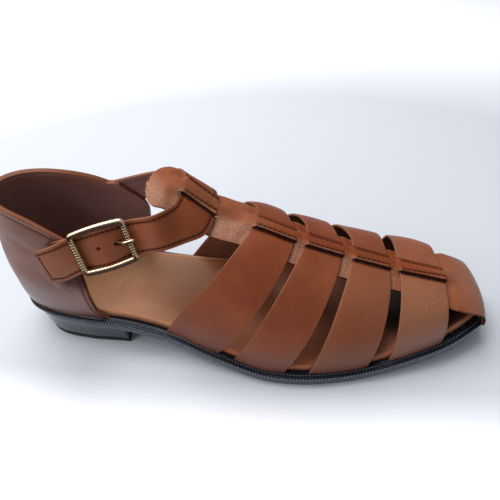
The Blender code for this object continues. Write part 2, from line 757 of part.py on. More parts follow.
def main():
    clear_scene()
    make_outsole()
    make_welt()
    make_heel()
    make_insole()
    make_upper()
    make_buckle()
    make_tab()


if __name__ == "__main__":
    main()
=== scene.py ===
"""Men's T-strap fisherman sandal, right shoe: the pieces that show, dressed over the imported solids.

Shapes are worked out in millimetres on the maker's last: a station runs along the sole from the back
of the heel to the toe, lateral is -Y, medial is +Y and the floor is Z = 0.
"""

import math

import bmesh
import bpy
import numpy as np
from bpy.props import FloatProperty, FloatVectorProperty, PointerProperty
from mathutils import Matrix, Vector


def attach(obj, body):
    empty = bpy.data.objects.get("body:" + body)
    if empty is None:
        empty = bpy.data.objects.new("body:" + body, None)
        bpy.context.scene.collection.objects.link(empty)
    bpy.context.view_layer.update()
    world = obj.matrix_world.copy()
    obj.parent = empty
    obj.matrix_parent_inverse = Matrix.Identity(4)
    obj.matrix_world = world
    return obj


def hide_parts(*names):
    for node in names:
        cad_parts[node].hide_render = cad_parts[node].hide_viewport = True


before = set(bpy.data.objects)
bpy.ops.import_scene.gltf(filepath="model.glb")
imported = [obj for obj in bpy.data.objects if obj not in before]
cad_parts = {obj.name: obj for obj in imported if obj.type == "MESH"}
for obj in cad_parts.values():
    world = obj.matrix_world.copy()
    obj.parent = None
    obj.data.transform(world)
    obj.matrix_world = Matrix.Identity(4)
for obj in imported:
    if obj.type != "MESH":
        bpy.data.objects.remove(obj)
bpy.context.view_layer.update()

bl_info = {
    "name": "Fisherman Sandal",
    "version": (1, 0, 0),
    "blender": (4, 5, 0),
    "location": "View3D > Sidebar > Sandal",
    "description": "Builds the visible pieces of a T-strap fisherman sandal",
    "category": "Object",
}

MM = 0.001
LENGTH = 287.4
END_TURN = 0.13
END_RUN = 30.0

# Layers of the sole, from the floor up
OUTSOLE_THICK = 4.5
WELT_THICK = 2.8
INSOLE_THICK = 4.3
LAST_MARGIN = 5.0
LIFT_THICK = 3.6
BREAST = 72.0
BREAST_HOLLOW = 2.5
UNDERCUT_RUN = 30.0
OUTSOLE_UNDERCUT = 4.5
HEEL_UNDERCUT = 6.5

# Sole outline and underside, a row per section
SOLE_COLUMNS = ("station", "lateral", "medial", "underside")
SOLE = (
    (0.0, 0.0, 0.0, 17.0),
    (3.0, 12.0, 12.0, 16.9),
    (12.0, 23.4, 22.8, 16.6),
    (25.0, 29.6, 28.6, 16.0),
    (45.0, 33.2, 31.6, 14.9),
    (72.0, 34.2, 31.4, 12.9),
    (100.0, 38.4, 31.0, 9.3),
    (130.0, 47.6, 34.0, 4.7),
    (165.0, 55.2, 43.2, 0.0),
    (185.0, 55.2, 46.8, 0.0),
    (205.0, 52.0, 47.2, 0.0),
    (225.0, 46.8, 44.8, 1.3),
    (245.0, 40.0, 40.6, 3.7),
    (262.0, 33.0, 35.4, 6.2),
    (272.0, 27.2, 29.4, 7.9),
    (280.0, 21.4, 23.0, 9.3),
    (284.2, 18.0, 19.0, 10.0),
    (286.6, 12.6, 13.0, 10.4),
    (287.4, 0.0, 0.0, 10.6),
)

# Ridge of the last: its side shift and height, then how square the section is on each side
RIDGE_COLUMNS = ("station", "side", "height", "lateral_round", "medial_round")
RIDGE = (
    (95.0, 3.5, 95.8, 2.0, 2.2),
    (100.0, 3.4, 98.2, 2.0, 2.2),
    (106.0, 3.2, 98.6, 2.0, 2.3),
    (113.5, 3.0, 95.4, 2.0, 2.4),
    (122.0, 2.4, 87.9, 2.0, 2.6),
    (131.0, 1.6, 80.8, 2.0, 2.8),
    (141.0, 0.8, 77.2, 2.0, 3.05),
    (152.5, 0.2, 73.6, 2.0, 3.3),
    (173.0, 0.0, 64.2, 2.0, 2.95),
    (200.0, 0.0, 53.8, 2.0, 2.85),
    (230.0, 0.0, 43.8, 2.1, 3.5),
    (260.0, 0.5, 35.0, 2.8, 6.0),
    (270.0, 1.4, 32.0, 3.2, 5.0),
)
TAB_ROLL = 0.11
TAB_BOW = 3.6
TAB_BOW_HALF = 15.4
TAB_END = 131.0
VAMP_START = 152.0

# Half-width of the centre strap from the tab to the toe
STRAP_COLUMNS = ("station", "half")
CENTRE_STRAP = (
    (95.6, 4.5),
    (96.6, 8.5),
    (99.0, 12.2),
    (103.0, 14.8),
    (109.0, 15.4),
    (148.0, 15.4),
    (174.0, 17.2),
    (232.0, 16.2),
    (255.0, 18.0),
    (266.0, 20.8),
    (287.4, 20.2),
)
TAB_START = 95.6
TOE_START = 266.0
TOE_REACH = 15.0
TOE_RISE = 10.0
TOE_FRONT = 285.6
TOE_BOW = 0.006
STRIP_HALF = 4.6
STRIP_MEDIAL = 3.2
MEDIAL_NARROW = 0.19

# Cross bands: stations of each edge at the lateral sole, ridge and medial sole, and how late it sweeps back
BAND_COLUMNS = ("rear_lateral", "rear_top", "rear_medial", "rear_sweep",
                "front_lateral", "front_top", "front_medial", "front_sweep")
BANDS = (
    (99.8, 152.4, 102.0, 1.38, 132.8, 174.2, 135.0, 1.6),
    (142.0, 180.6, 143.0, 1.3, 171.0, 201.1, 173.0, 1.5),
    (184.8, 207.6, 182.0, 1.2, 217.4, 228.4, 216.0, 2.0),
    (229.4, 234.4, 226.0, 2.0, 259.2, 261.0, 256.0, 1.3),
)

MEDIAL_STRAIGHT = 0.2

# Heel counter: outline of its horizontal sections, top line and front edge
COUNTER_COLUMNS = ("height", "back", "half", "roundness")
COUNTER = (
    (18.0, 3.4, 30.4, 2.98),
    (35.0, 1.4, 31.6, 2.82),
    (50.0, 1.0, 31.8, 2.68),
    (65.0, 2.0, 31.0, 2.43),
    (82.0, 4.6, 28.6, 2.25),
    (92.0, 6.6, 26.0, 2.2),
    (99.0, 8.0, 25.0, 2.2),
)
COUNTER_FULL = 66.0
COLLAR_COLUMNS = ("station", "height")
COLLAR = ((7.0, 98.4), (14.5, 97.6), (27.0, 95.3), (38.8, 92.1), (50.5, 87.3), (61.0, 81.5))
FRONT_COLUMNS = ("height", "lateral", "medial")
COUNTER_FRONT = (
    (18.0, 66.0, 84.0),
    (23.6, 61.5, 79.5),
    (31.0, 57.8, 77.0),
    (41.0, 57.6, 77.5),
    (50.0, 58.4, 79.5),
    (60.0, 59.2, 81.0),
    (66.0, 59.7, 79.5),
    (74.0, 60.3, 72.0),
    (83.0, 61.0, 64.0),
)

# Ankle strap: upper and lower edge of each section away from the buckle
STRAP_TIP = (
    (41.1, -32.6, 79.4, 44.6, -35.2, 60.0),
    (53.1, -34.0, 85.1, 53.8, -36.3, 62.6),
)
STRAP_LATERAL = (
    (106.5, -21.5, 97.0, 109.3, -27.0, 78.4),
    (111.1, -15.5, 96.0, 117.7, -21.5, 78.0),
)
STRAP_MEDIAL = (
    (109.5, 19.5, 95.0, 119.0, 22.5, 78.5),
    (101.0, 23.5, 92.0, 105.0, 27.5, 74.0),
    (90.0, 26.2, 88.6, 92.0, 30.2, 69.4),
)
STRAP_SEWN = (77.0, 66.0, 57.0, 48.0)
SEWN_UPPER = 84.0
SEWN_LOWER = 65.0
SEWN_SLOPE = 0.3
CROSSING_UPPER = 114.0
CROSSING_LOWER = 131.0
CROSSING = ((-8.5, -14.5), (-3.0, -6.0), (3.0, 3.0), (8.5, 10.5), (14.0, 17.0))
CROSSING_BEND = 0.014
CROSSING_LEVEL = 0.95
BUCKLE_RUNS = (15.0, 11.0, 7.5, 4.0, 0.0, -4.0, -7.5, -11.0, -15.0)

# Buckle: centre, run of the strap to its tip and rise across it, then rods and pin
BUCKLE_CENTRE = (78.67, -30.67, 82.02)
BUCKLE_RUN = (-0.9299, -0.346, -0.1246)
BUCKLE_RISE = (-0.2229, 0.2607, 0.9393)
BUCKLE_LENGTH = 29.9
BUCKLE_WIDTH = 24.6
BUCKLE_CORNER = 1.2
ROD = 1.62
BAR = 1.1
BAR_DROP = 3.2
PIN = 0.9
STRAP_HALF = 10.05
STRAP_SHIFT = -0.8
UPPER_CROWN = 1.3
WEAVE_RISE = 0.55
WEAVE_DIP = 2.9
TAB_THICK = 1.4
TAB_HALF = 6.2
TAB_NOTCH = 1.7
TAB_STATIONS = (51.0, 55.0, 59.0)
TAB_HEIGHT = 79.5
TAB_SLOPE = 0.3
CLEARANCE = 0.3

# Camera of the photograph, in the shared frame
CAMERA_PLACE = (0.032463, -0.172612, 0.22787)
CAMERA_RIGHT = (0.99350299, 0.09893574, -0.05624521)
CAMERA_UP = (-0.0293294, 0.70011063, 0.71343177)
CAMERA_BACK = (0.10996177, -0.70714696, 0.69846373)
CAMERA_LENS = 30.71
CAMERA_SENSOR = 36.0


def length_property(name, description, default, low, high):
    return FloatProperty(name=name, description=description, default=default, min=low, max=high,
                         unit="LENGTH", precision=5)


class SandalSizes(bpy.types.PropertyGroup):
    """Sizes of the leather, its edges and its stitching."""
    leather: length_property("Leather", "Thickness of the cross bands", 0.0015, 0.0008, 0.003)
    strap_leather: length_property("Centre strap", "Thickness of the centre strap", 0.0014, 0.0008, 0.003)
    ankle_leather: length_property("Ankle strap", "Thickness of the ankle strap", 0.0017, 0.0008, 0.003)
    counter_wall: length_property("Counter wall", "Thickness of the lined heel counter", 0.0026, 0.001, 0.004)
    edge_round: length_property("Edge rounding", "Rounding of the cut leather edges", 0.00045, 0.0001, 0.001)
    stitch_length: length_property("Stitch length", "Length of one visible stitch", 0.0021, 0.001, 0.006)
    stitch_pitch: length_property("Stitch pitch", "Distance from one stitch to the next", 0.0027, 0.0015, 0.008)
    thread: length_property("Thread", "Thickness of the thread", 0.0009, 0.0003, 0.0015)
    seam_depth: length_property("Seam depth", "How far a stitch row draws the leather in", 0.00028, 0.0, 0.0008)
    seam_inset: length_property("Seam inset", "Distance of a stitch row from its edge", 0.0021, 0.001, 0.005)
    welt_pitch: length_property("Welt stitch pitch", "Distance between the welt's stitches", 0.0018, 0.0012, 0.01)


def colour_property(name, description, default):
    return FloatVectorProperty(name=name, description=description, default=default,
                               subtype="COLOR", size=3, min=0.0, max=1.0)


class SandalColours(bpy.types.PropertyGroup):
    """Colours of the leathers, the sole, the thread and the buckle."""
    leather_deep: colour_property("Leather, deep", "Darker tone of the tan leather", (0.155, 0.033, 0.011))
    leather_lit: colour_property("Leather, lit", "Lighter tone of the tan leather", (0.225, 0.054, 0.017))
    # Open grain of the centre strap: its lighter, greyer colour also holds a painted sheen
    leather_pale: colour_property("Leather, pale", "Open grain of the centre strap", (0.36, 0.186, 0.12))
    # Painted light: lighter leather on the lit parts of the front bands, the toe and the straps
    leather_faded: colour_property("Leather, faded", "Rubbed leather of the toe", (0.315, 0.135, 0.068))
    # Painted sheen: a greyer leather where it is polished, standing in for the floor's reflection
    leather_dull: colour_property("Leather, dull", "Leather near the sole", (0.10, 0.05, 0.046))
    cut_edge: colour_property("Cut edge", "Raw edge of the leather", (0.20, 0.075, 0.035))
    # Dark stain of the centre strap's cut edge, also the colour of painted shadow
    slit_edge: colour_property("Slit edge", "Stained edge inside the slits", (0.022, 0.006, 0.004))
    flesh: colour_property("Flesh side", "Inner side of the straps", (0.25, 0.105, 0.06))
    lining: colour_property("Lining", "Lining of the heel counter", (0.18, 0.088, 0.08))
    # Painted light on the lining below the collar
    lining_worn: colour_property("Lining, worn", "Lining rubbed along the collar", (0.27, 0.115, 0.07))
    insole_deep: colour_property("Insole, deep", "Darker tone of the footbed", (0.28, 0.12, 0.054))
    insole_lit: colour_property("Insole, lit", "Lighter tone of the footbed", (0.42, 0.202, 0.103))
    # Painted shade on the footbed under the bands
    insole_front: colour_property("Insole, front", "Footbed under the bands", (0.15, 0.041, 0.012))
    # Painted shade on the footbed deep under the toe
    insole_toe: colour_property("Insole, toe", "Footbed deep under the toe", (0.02, 0.01, 0.008))
    # Painted highlight on the footbed's rolled rim
    insole_rim: colour_property("Insole, rim", "Rolled rim of the footbed", (0.46, 0.185, 0.085))
    # Painted light on the footbed's outer edge between the bands
    insole_flank: colour_property("Insole, flank", "Outer edge between the bands", (0.36, 0.112, 0.055))
    sole_black: colour_property("Sole", "Black of the sole and welt", (0.008, 0.009, 0.013))
    thread: colour_property("Thread", "Sewing thread", (0.045, 0.011, 0.007))
    metal: colour_property("Buckle", "Gilt of the buckle", (1.0, 0.75, 0.47))
    # Painted shade on the buckle's under sides
    metal_dark: colour_property("Buckle, dark", "Tarnish on the buckle's under sides", (0.045, 0.02, 0.01))
    # The floor near the shoe: its greyer tone is painted shade that fades out to the far floor
    floor: colour_property("Floor", "Pale floor", (0.545, 0.565, 0.61))
    floor_far: colour_property("Floor, far", "Floor away from the shoe", (0.93, 0.94, 0.96))


def column(table, names, name):
    """One named column of a table."""
    return np.array([row[names.index(name)] for row in table], float)


def monotone(xs, ys):
    """Smooth curve through a table that never overshoots its rows."""
    step = np.diff(xs)
    slope = np.diff(ys) / step
    tangent = np.zeros(len(xs))
    tangent[0], tangent[-1] = slope[0], slope[-1]
    for i in range(1, len(xs) - 1):
        if slope[i - 1] * slope[i] > 0:
            before, after = 2 * step[i] + step[i - 1], step[i] + 2 * step[i - 1]
            tangent[i] = (before + after) / (before / slope[i - 1] + after / slope[i])

    def value(x):
        x = np.clip(np.asarray(x, float), xs[0], xs[-1])
        i = np.clip(np.searchsorted(xs, x) - 1, 0, len(step) - 1)
        t = (x - xs[i]) / step[i]
        return (ys[i] * (1 + 2 * t) * (1 - t) ** 2 + ys[i + 1] * t * t * (3 - 2 * t)
                + step[i] * t * (1 - t) * (tangent[i] * (1 - t) - tangent[i + 1] * t))

    return value


def curve(table, names, across, value):
    return monotone(column(table, names, across), column(table, names, value))


def spline(points, steps, closed=False):
    """Round curve through a row of points."""
    points = np.asarray(points, float)
    count = len(points)
    ahead = points[[(i + 1) % count if closed else min(i + 1, count - 1) for i in range(count)]]
    behind = points[[(i - 1) % count if closed else max(i - 1, 0) for i in range(count)]]
    reach_a = np.linalg.norm(ahead - points, axis=1, keepdims=True) + 1e-9
    reach_b = np.linalg.norm(points - behind, axis=1, keepdims=True) + 1e-9
    tangent = (ahead - points) / reach_a * reach_b + (points - behind) / reach_b * reach_a
    tangent = tangent / (reach_a + reach_b)
    out = []
    for i in range(count if closed else count - 1):
        j = (i + 1) % count
        span = np.linalg.norm(points[j] - points[i])
        for t in np.arange(steps) / steps:
            h = 3 * t * t - 2 * t ** 3
            out.append(points[i] * (1 - h) + points[j] * h
                       + span * (tangent[i] * t * (1 - t) ** 2 - tangent[j] * t * t * (1 - t)))
    if not closed:
        out.append(points[-1])
    return np.array(out)


class Outline:
    """Sole outline moved inward by a margin, read as half-widths along the station."""

    def __init__(self, margin):
        lateral = [(row[0], -row[1]) for row in SOLE]
        medial = [(row[0], row[2]) for row in SOLE[-2:0:-1]]
        loop = spline(lateral + medial, 24, closed=True)
        along = np.roll(loop, -1, axis=0) - np.roll(loop, 1, axis=0)
        inward = np.stack([-along[:, 1], along[:, 0]], axis=1)
        loop = loop + margin * inward / np.linalg.norm(inward, axis=1, keepdims=True)
        low, high = loop[:, 0].argmin(), loop[:, 0].argmax()
        self.start, self.end = loop[low, 0], loop[high, 0]
        self.lateral_side = self.half_loop(loop, low, high)
        self.medial_side = self.half_loop(loop[::-1], len(loop) - 1 - low, len(loop) - 1 - high)

    @staticmethod
    def half_loop(loop, low, high):
        """Outline points from the heel end to the toe end, with rising stations."""
        run = np.roll(loop, -low, axis=0)[:(high - low) % len(loop) + 1]
        keep = np.concatenate([[True], np.diff(np.maximum.accumulate(run[:, 0])) > 1e-6])
        return run[keep]

    def lateral(self, station):
        return np.interp(station, self.lateral_side[:, 0], self.lateral_side[:, 1])

    def medial(self, station):
        return np.interp(station, self.medial_side[:, 0], self.medial_side[:, 1])

    def rows(self, count, cols):
        """Rows of points across the sole, bowed out to the round ends of the outline."""
        middle, reach = (self.start + self.end) / 2, (self.end - self.start) / 2
        stations = middle - reach * np.cos(np.linspace(END_TURN, math.pi - END_TURN, count))
        shares = np.linspace(-1.0, 1.0, cols)
        grid = []
        for station in stations:
            heel = (stations[0] - self.start) * max(1.0 - station / END_RUN, 0.0) ** 3
            toe = (self.end - stations[-1]) * max(1.0 - (LENGTH - station) / END_RUN, 0.0) ** 3
            sides = np.interp(shares, (-1.0, 1.0), (self.lateral(station), self.medial(station)))
            grid.append(np.stack([station + (toe - heel) * (1 - shares ** 2), sides], axis=1))
        return np.array(grid)


SOLE_EDGE = Outline(0.0)
FEATHER = Outline(LAST_MARGIN)
CENTRE_SIDE = (SOLE_EDGE.lateral_side[:, 1].min() + SOLE_EDGE.medial_side[:, 1].max()) / 2
ORIGIN = np.array([(SOLE_EDGE.start + SOLE_EDGE.end) / 2, CENTRE_SIDE, 0.0])
underside = curve(SOLE, SOLE_COLUMNS, "station", "underside")
ridge_side = curve(RIDGE, RIDGE_COLUMNS, "station", "side")
ridge_height = curve(RIDGE, RIDGE_COLUMNS, "station", "height")
lateral_round = curve(RIDGE, RIDGE_COLUMNS, "station", "lateral_round")
medial_round = curve(RIDGE, RIDGE_COLUMNS, "station", "medial_round")
strap_half = curve(CENTRE_STRAP, STRAP_COLUMNS, "station", "half")
counter_back = curve(COUNTER, COUNTER_COLUMNS, "height", "back")
counter_half = curve(COUNTER, COUNTER_COLUMNS, "height", "half")
counter_round = curve(COUNTER, COUNTER_COLUMNS, "height", "roundness")
collar_height = curve(COLLAR, COLLAR_COLUMNS, "station", "height")
front_lateral = curve(COUNTER_FRONT, FRONT_COLUMNS, "height", "lateral")
front_medial = curve(COUNTER_FRONT, FRONT_COLUMNS, "height", "medial")


def ease(x):
    """Soft step from 0 to 1."""
    x = np.clip(x, 0.0, 1.0)
    return x * x * (3 - 2 * x)


def ramp(x, start, run):
    """Soft step that leaves 0 at a start and is 1 a run further on; a negative run goes the other way."""
    return ease((x - start) / run)


def dip(distance, width):
    """Bell that is 1 on a line and fades over a width."""
    return np.exp(-(distance / width) ** 2)


def welt_top(station):
    return underside(station) + OUTSOLE_THICK + WELT_THICK


def feather_height(station):
    return welt_top(station) + CLEARANCE


def last_point(station, side):
    """Points of the last's sections above side positions."""
    station, side = np.broadcast_arrays(station, side)
    centre, base = ridge_side(station), feather_height(station)
    edge = np.where(side < centre, FEATHER.lateral(station), FEATHER.medial(station))
    power = np.where(side < centre, lateral_round(station), medial_round(station))
    reach = np.clip(np.abs((side - centre) / (edge - centre)), 0.0, 1.0)
    rise = (1.0 - reach ** power) ** (1.0 / power)
    return np.stack([station, side, base + (ridge_height(station) - base) * rise], axis=-1)


def last_girth(station, turn):
    """Points of the last at turns from 0 (lateral sole) over 0.5 (ridge) to 1 (medial sole)."""
    centre, base = ridge_side(station), feather_height(station)
    edge = np.where(turn < 0.5, FEATHER.lateral(station), FEATHER.medial(station))
    power = np.where(turn < 0.5, lateral_round(station), medial_round(station))
    across, up = np.abs(np.cos(math.pi * turn)), np.maximum(np.sin(math.pi * turn), 0.0)
    ray = (across ** power + up ** power) ** (-1.0 / power)
    return np.stack([station, centre + (edge - centre) * across * ray,
                     base + (ridge_height(station) - base) * up * ray], axis=-1)


def centre_point(station, offset):
    """Points under the centre strap: its own rolled section at the ankle, the last's on the vamp."""
    station, offset = np.broadcast_arrays(np.asarray(station, float), np.asarray(offset, float))
    side = ridge_side(station) + offset
    drop = TAB_BOW * (offset / TAB_BOW_HALF) ** 2
    ankle = np.stack([station, side, ridge_height(station) + TAB_ROLL * offset - drop], axis=-1)
    share = ease((station - TAB_END) / (VAMP_START - TAB_END))[..., None]
    return ankle * (1 - share) + last_point(station, side) * share


def grid_normals(grid, outward):
    """Unit normals of a grid of points, turned to the outward side at its middle."""
    across = np.cross(np.gradient(grid, axis=0), np.gradient(grid, axis=1))
    normal = across / (np.linalg.norm(across, axis=2, keepdims=True) + 1e-12)
    middle = normal[len(grid) // 2, grid.shape[1] // 2]
    return normal if np.dot(middle, outward) > 0 else -normal


def border_runs(grid, axis):
    """Distance of each point of a grid from its two ends along one axis."""
    step = np.linalg.norm(np.diff(grid, axis=axis), axis=2)
    shape = list(grid.shape[:2])
    shape[axis] = 1
    run = np.concatenate([np.zeros(shape), np.cumsum(step, axis=axis)], axis=axis)
    return run, np.take(run, [-1], axis=axis) - run


def border_distance(grid):
    """Distance of each point of a grid from the nearest border."""
    return np.minimum(np.minimum(*border_runs(grid, 0)), np.minimum(*border_runs(grid, 1)))


def along_row(where, run, row):
    """Point of a row of points at a distance along it."""
    return [np.interp(where, run, row[:, k]) for k in range(3)]


def place(points):
    """Stations and sides in millimetres to the shared frame in metres."""
    return (np.asarray(points, float) - ORIGIN) * MM


def add_grid(bm, points, marks=None):
    """Grid of faces drawn onto an array of points, with marks kept on its corners."""
    rows, cols = points.shape[:2]
    row_of, col_of = bm.verts.layers.int["row"], bm.verts.layers.int["col"]
    made = bmesh.ops.create_grid(bm, x_segments=rows - 1, y_segments=cols - 1, size=1.0)["verts"]
    spots = place(points)
    for v in made:
        i, j = round((v.co.x + 1) * (rows - 1) / 2), round((v.co.y + 1) * (cols - 1) / 2)
        v[row_of], v[col_of] = i, j
        for name, values in (marks or {}).items():
            v[bm.verts.layers.float[name]] = values[i, j]
        v.co = spots[i, j]
    return made


def new_grid(points, marks=None):
    bm = bmesh.new()
    bm.verts.layers.int.new("row")
    bm.verts.layers.int.new("col")
    for name in marks or {}:
        bm.verts.layers.float.new(name)
    add_grid(bm, points, marks)
    return bm


def face_out(bm, outward):
    """Turn a sheet so that its faces look outward on the whole."""
    bm.normal_update()
    middle = sum((f.normal * f.calc_area() for f in bm.faces), Vector())
    if middle.dot(Vector(outward)) < 0:
        bmesh.ops.reverse_faces(bm, faces=bm.faces)


def new_piece(name, bm, finishes, node=None):
    """Object of a finished mesh that rides on the shoe, with its finishes by name."""
    for face in bm.faces:
        face.smooth = True
    mesh = bpy.data.meshes.new(name)
    bm.to_mesh(mesh)
    bm.free()
    for finish in finishes:
        mesh.materials.append(bpy.data.materials[finish])
    piece = bpy.data.objects.new(name, mesh)
    bpy.context.scene.collection.objects.link(piece)
    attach(piece, "root")
    if node:
        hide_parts(node)
    return piece


# Corners of a cut edge that are sharper than this many degrees are rounded
CUT_ANGLE = 55.0


def new_leather(name, bm, outward, finishes, thick, edge, segments=3, node="upper"):
    """Leather piece made of a sheet: its thickness goes inward from the outer face, its cut edge is rounded.

    The finishes are those of the outer face, the inner face and the cut edge.
    """
    face_out(bm, outward)
    piece = new_piece(name, bm, finishes, node)
    solid = piece.modifiers.new("wall", "SOLIDIFY")
    solid.thickness = thick
    solid.offset = -1.0
    solid.material_offset = 1
    solid.material_offset_rim = 2
    rounded = piece.modifiers.new("cut_edge", "BEVEL")
    rounded.width = edge
    rounded.segments = segments
    rounded.limit_method = "ANGLE"
    rounded.angle_limit = math.radians(CUT_ANGLE)


def rod(bm, path, radii, sides=14, closed=False, square=2.0, side=None):
    """Rod drawn along a path, ring by ring; its section is round at 2 and squarer above."""
    path = np.asarray(path, float)
    count = len(path)
    radii = np.broadcast_to(radii, count)
    before, ring, first = None, None, None
    for i in range(count):
        ahead = path[(i + 1) % count] if closed else path[min(i + 1, count - 1)]
        behind = path[i - 1] if closed else path[max(i - 1, 0)]
        along = (ahead - behind) / np.linalg.norm(ahead - behind)
        side = np.cross(along, (0.31, 0.22, 0.93)) if side is None else side
        side = side - along * np.dot(side, along)
        side = side / np.linalg.norm(side)
        axes = np.stack([side, np.cross(along, side), along], axis=1) * radii[i] * MM
        here = Matrix.Translation(place(path[i])) @ Matrix(axes.tolist()).to_4x4()
        if ring is None:
            made = bmesh.ops.create_circle(bm, segments=sides, radius=1.0)["verts"]
            for v in made:
                v.co /= (abs(v.co.x) ** square + abs(v.co.y) ** square) ** (1.0 / square)
            bmesh.ops.transform(bm, matrix=here, verts=made)
            ring = first = list({e for v in made for e in v.link_edges})
        else:
            grown = bmesh.ops.extrude_edge_only(bm, edges=ring)["geom"]
            corners = [g for g in grown if isinstance(g, bmesh.types.BMVert)]
            bmesh.ops.transform(bm, matrix=here @ before.inverted(), verts=corners)
            fresh = set(corners)
            ring = [g for g in grown if isinstance(g, bmesh.types.BMEdge) and set(g.verts) <= fresh]
        before = here
    if closed:
        bmesh.ops.bridge_loops(bm, edges=first + ring)
    else:
        bmesh.ops.holes_fill(bm, edges=first, sides=0)
        bmesh.ops.holes_fill(bm, edges=ring, sides=0)


# Stitches that are gathered in one mesh before they join their row, and the shape of one stitch
SEW_RUN = 30
STITCH_SIDES = 6
STITCH_RINGS = 5
STITCH_AIM = 0.4


def thread_size(sizes, height=0.9):
    """Length, width and height of one stitch, the height as a share of the thread."""
    return sizes.stitch_length / MM, sizes.thread / MM, height * sizes.thread / MM


def sew(bm, path, normals, stitch, pitch, start=0.0, end=0.0):
    """Row of stitches along a path, from one end distance to the other."""
    step = np.linalg.norm(np.diff(path, axis=0), axis=1)
    run = np.concatenate([[0.0], np.cumsum(step)])
    count = max(int((run[-1] - start - end) / pitch), 1)
    spots = start + (np.arange(count) + 0.5) * (run[-1] - start - end) / count
    length, width, height = stitch

    def at(where, rows):
        return np.array(along_row(where, run, rows))

    run_bm = bmesh.new()
    for index, where in enumerate(spots):
        along = at(where + STITCH_AIM, path) - at(where - STITCH_AIM, path)
        along = along / np.linalg.norm(along)
        up = at(where, normals)
        up = up - along * np.dot(up, along)
        up = up / np.linalg.norm(up)
        axes = np.stack([np.cross(up, along) * width / 2, up * height / 2, along * length / 2], axis=1) * MM
        here = Matrix.Translation(place(at(where, path))) @ Matrix(axes.tolist()).to_4x4()
        bmesh.ops.create_uvsphere(run_bm, u_segments=STITCH_SIDES, v_segments=STITCH_RINGS, radius=1.0, matrix=here)
        if index % SEW_RUN == SEW_RUN - 1 or index == len(spots) - 1:
            mesh = bpy.data.meshes.new("stitch_run")
            run_bm.to_mesh(mesh)
            bm.from_mesh(mesh)
            bpy.data.meshes.remove(mesh)
            run_bm.clear()
    run_bm.free()


def track(grid, normals, inset, far=False):
    """Line along a grid's rows at an inset from one long border, with its normals."""
    near, other = border_runs(grid, 1)
    runs = other[:, ::-1] if far else near
    line, lean = [], []
    for i in range(len(grid)):
        row, up = (grid[i, ::-1], normals[i, ::-1]) if far else (grid[i], normals[i])
        line.append(along_row(inset, runs[i], row))
        lean.append(along_row(inset, runs[i], up))
    return np.array(line), np.array(lean)


# Finishes
def add_node(tree, kind, inputs=None, **settings):
    node = tree.nodes.new(kind)
    for key, value in settings.items():
        setattr(node, key, value)
    for key, value in (inputs or {}).items():
        if isinstance(value, bpy.types.NodeSocket):
            tree.links.new(value, node.inputs[key])
        else:
            node.inputs[key].default_value = value
    return node


def new_finish(name, **values):
    """Principled material with its even values set on the shader's own sockets."""
    finish = bpy.data.materials.new(name)
    finish.use_nodes = True
    shader = finish.node_tree.nodes["Principled BSDF"]
    for key, value in values.items():
        shader.inputs[key.replace("_", " ")].default_value = value
    return finish.node_tree, shader


def toned(colour, factor):
    """A colour made lighter or darker."""
    return [factor * x for x in colour]


def mix(tree, share, first, second):
    node = tree.nodes.new("ShaderNodeMix")
    node.data_type = "RGBA"
    for index, value in ((0, share), (6, first), (7, second)):
        if isinstance(value, bpy.types.NodeSocket):
            tree.links.new(value, node.inputs[index])
        elif index == 0:
            node.inputs[index].default_value = value
        else:
            node.inputs[index].default_value = (*value, 1.0)
    return node.outputs[2]


def span(tree, value, low, high, to_low=0.0, to_high=1.0):
    node = add_node(tree, "ShaderNodeMapRange", {"Value": value, "From Min": low, "From Max": high,
                                                 "To Min": to_low, "To Max": to_high})
    return node.outputs[0]


def times(tree, first, second, operation="MULTIPLY"):
    return add_node(tree, "ShaderNodeMath", {0: first, 1: second}, operation=operation).outputs[0]


def noise(tree, spots, scale, detail=3.0, rough=0.55):
    node = add_node(tree, "ShaderNodeTexNoise",
                    {"Vector": spots, "Scale": scale, "Detail": detail, "Roughness": rough})
    return node.outputs["Fac"]


def object_spots(tree):
    return tree.nodes.new("ShaderNodeTexCoord").outputs["Object"]


def mark(tree, name):
    return add_node(tree, "ShaderNodeAttribute", attribute_name=name).outputs["Fac"]


def roughen(tree, shader, height, strength, depth):
    """Fine relief on the shader's surface."""
    bump = add_node(tree, "ShaderNodeBump", {"Height": height, "Strength": strength, "Distance": depth})
    tree.links.new(bump.outputs[0], shader.inputs["Normal"])


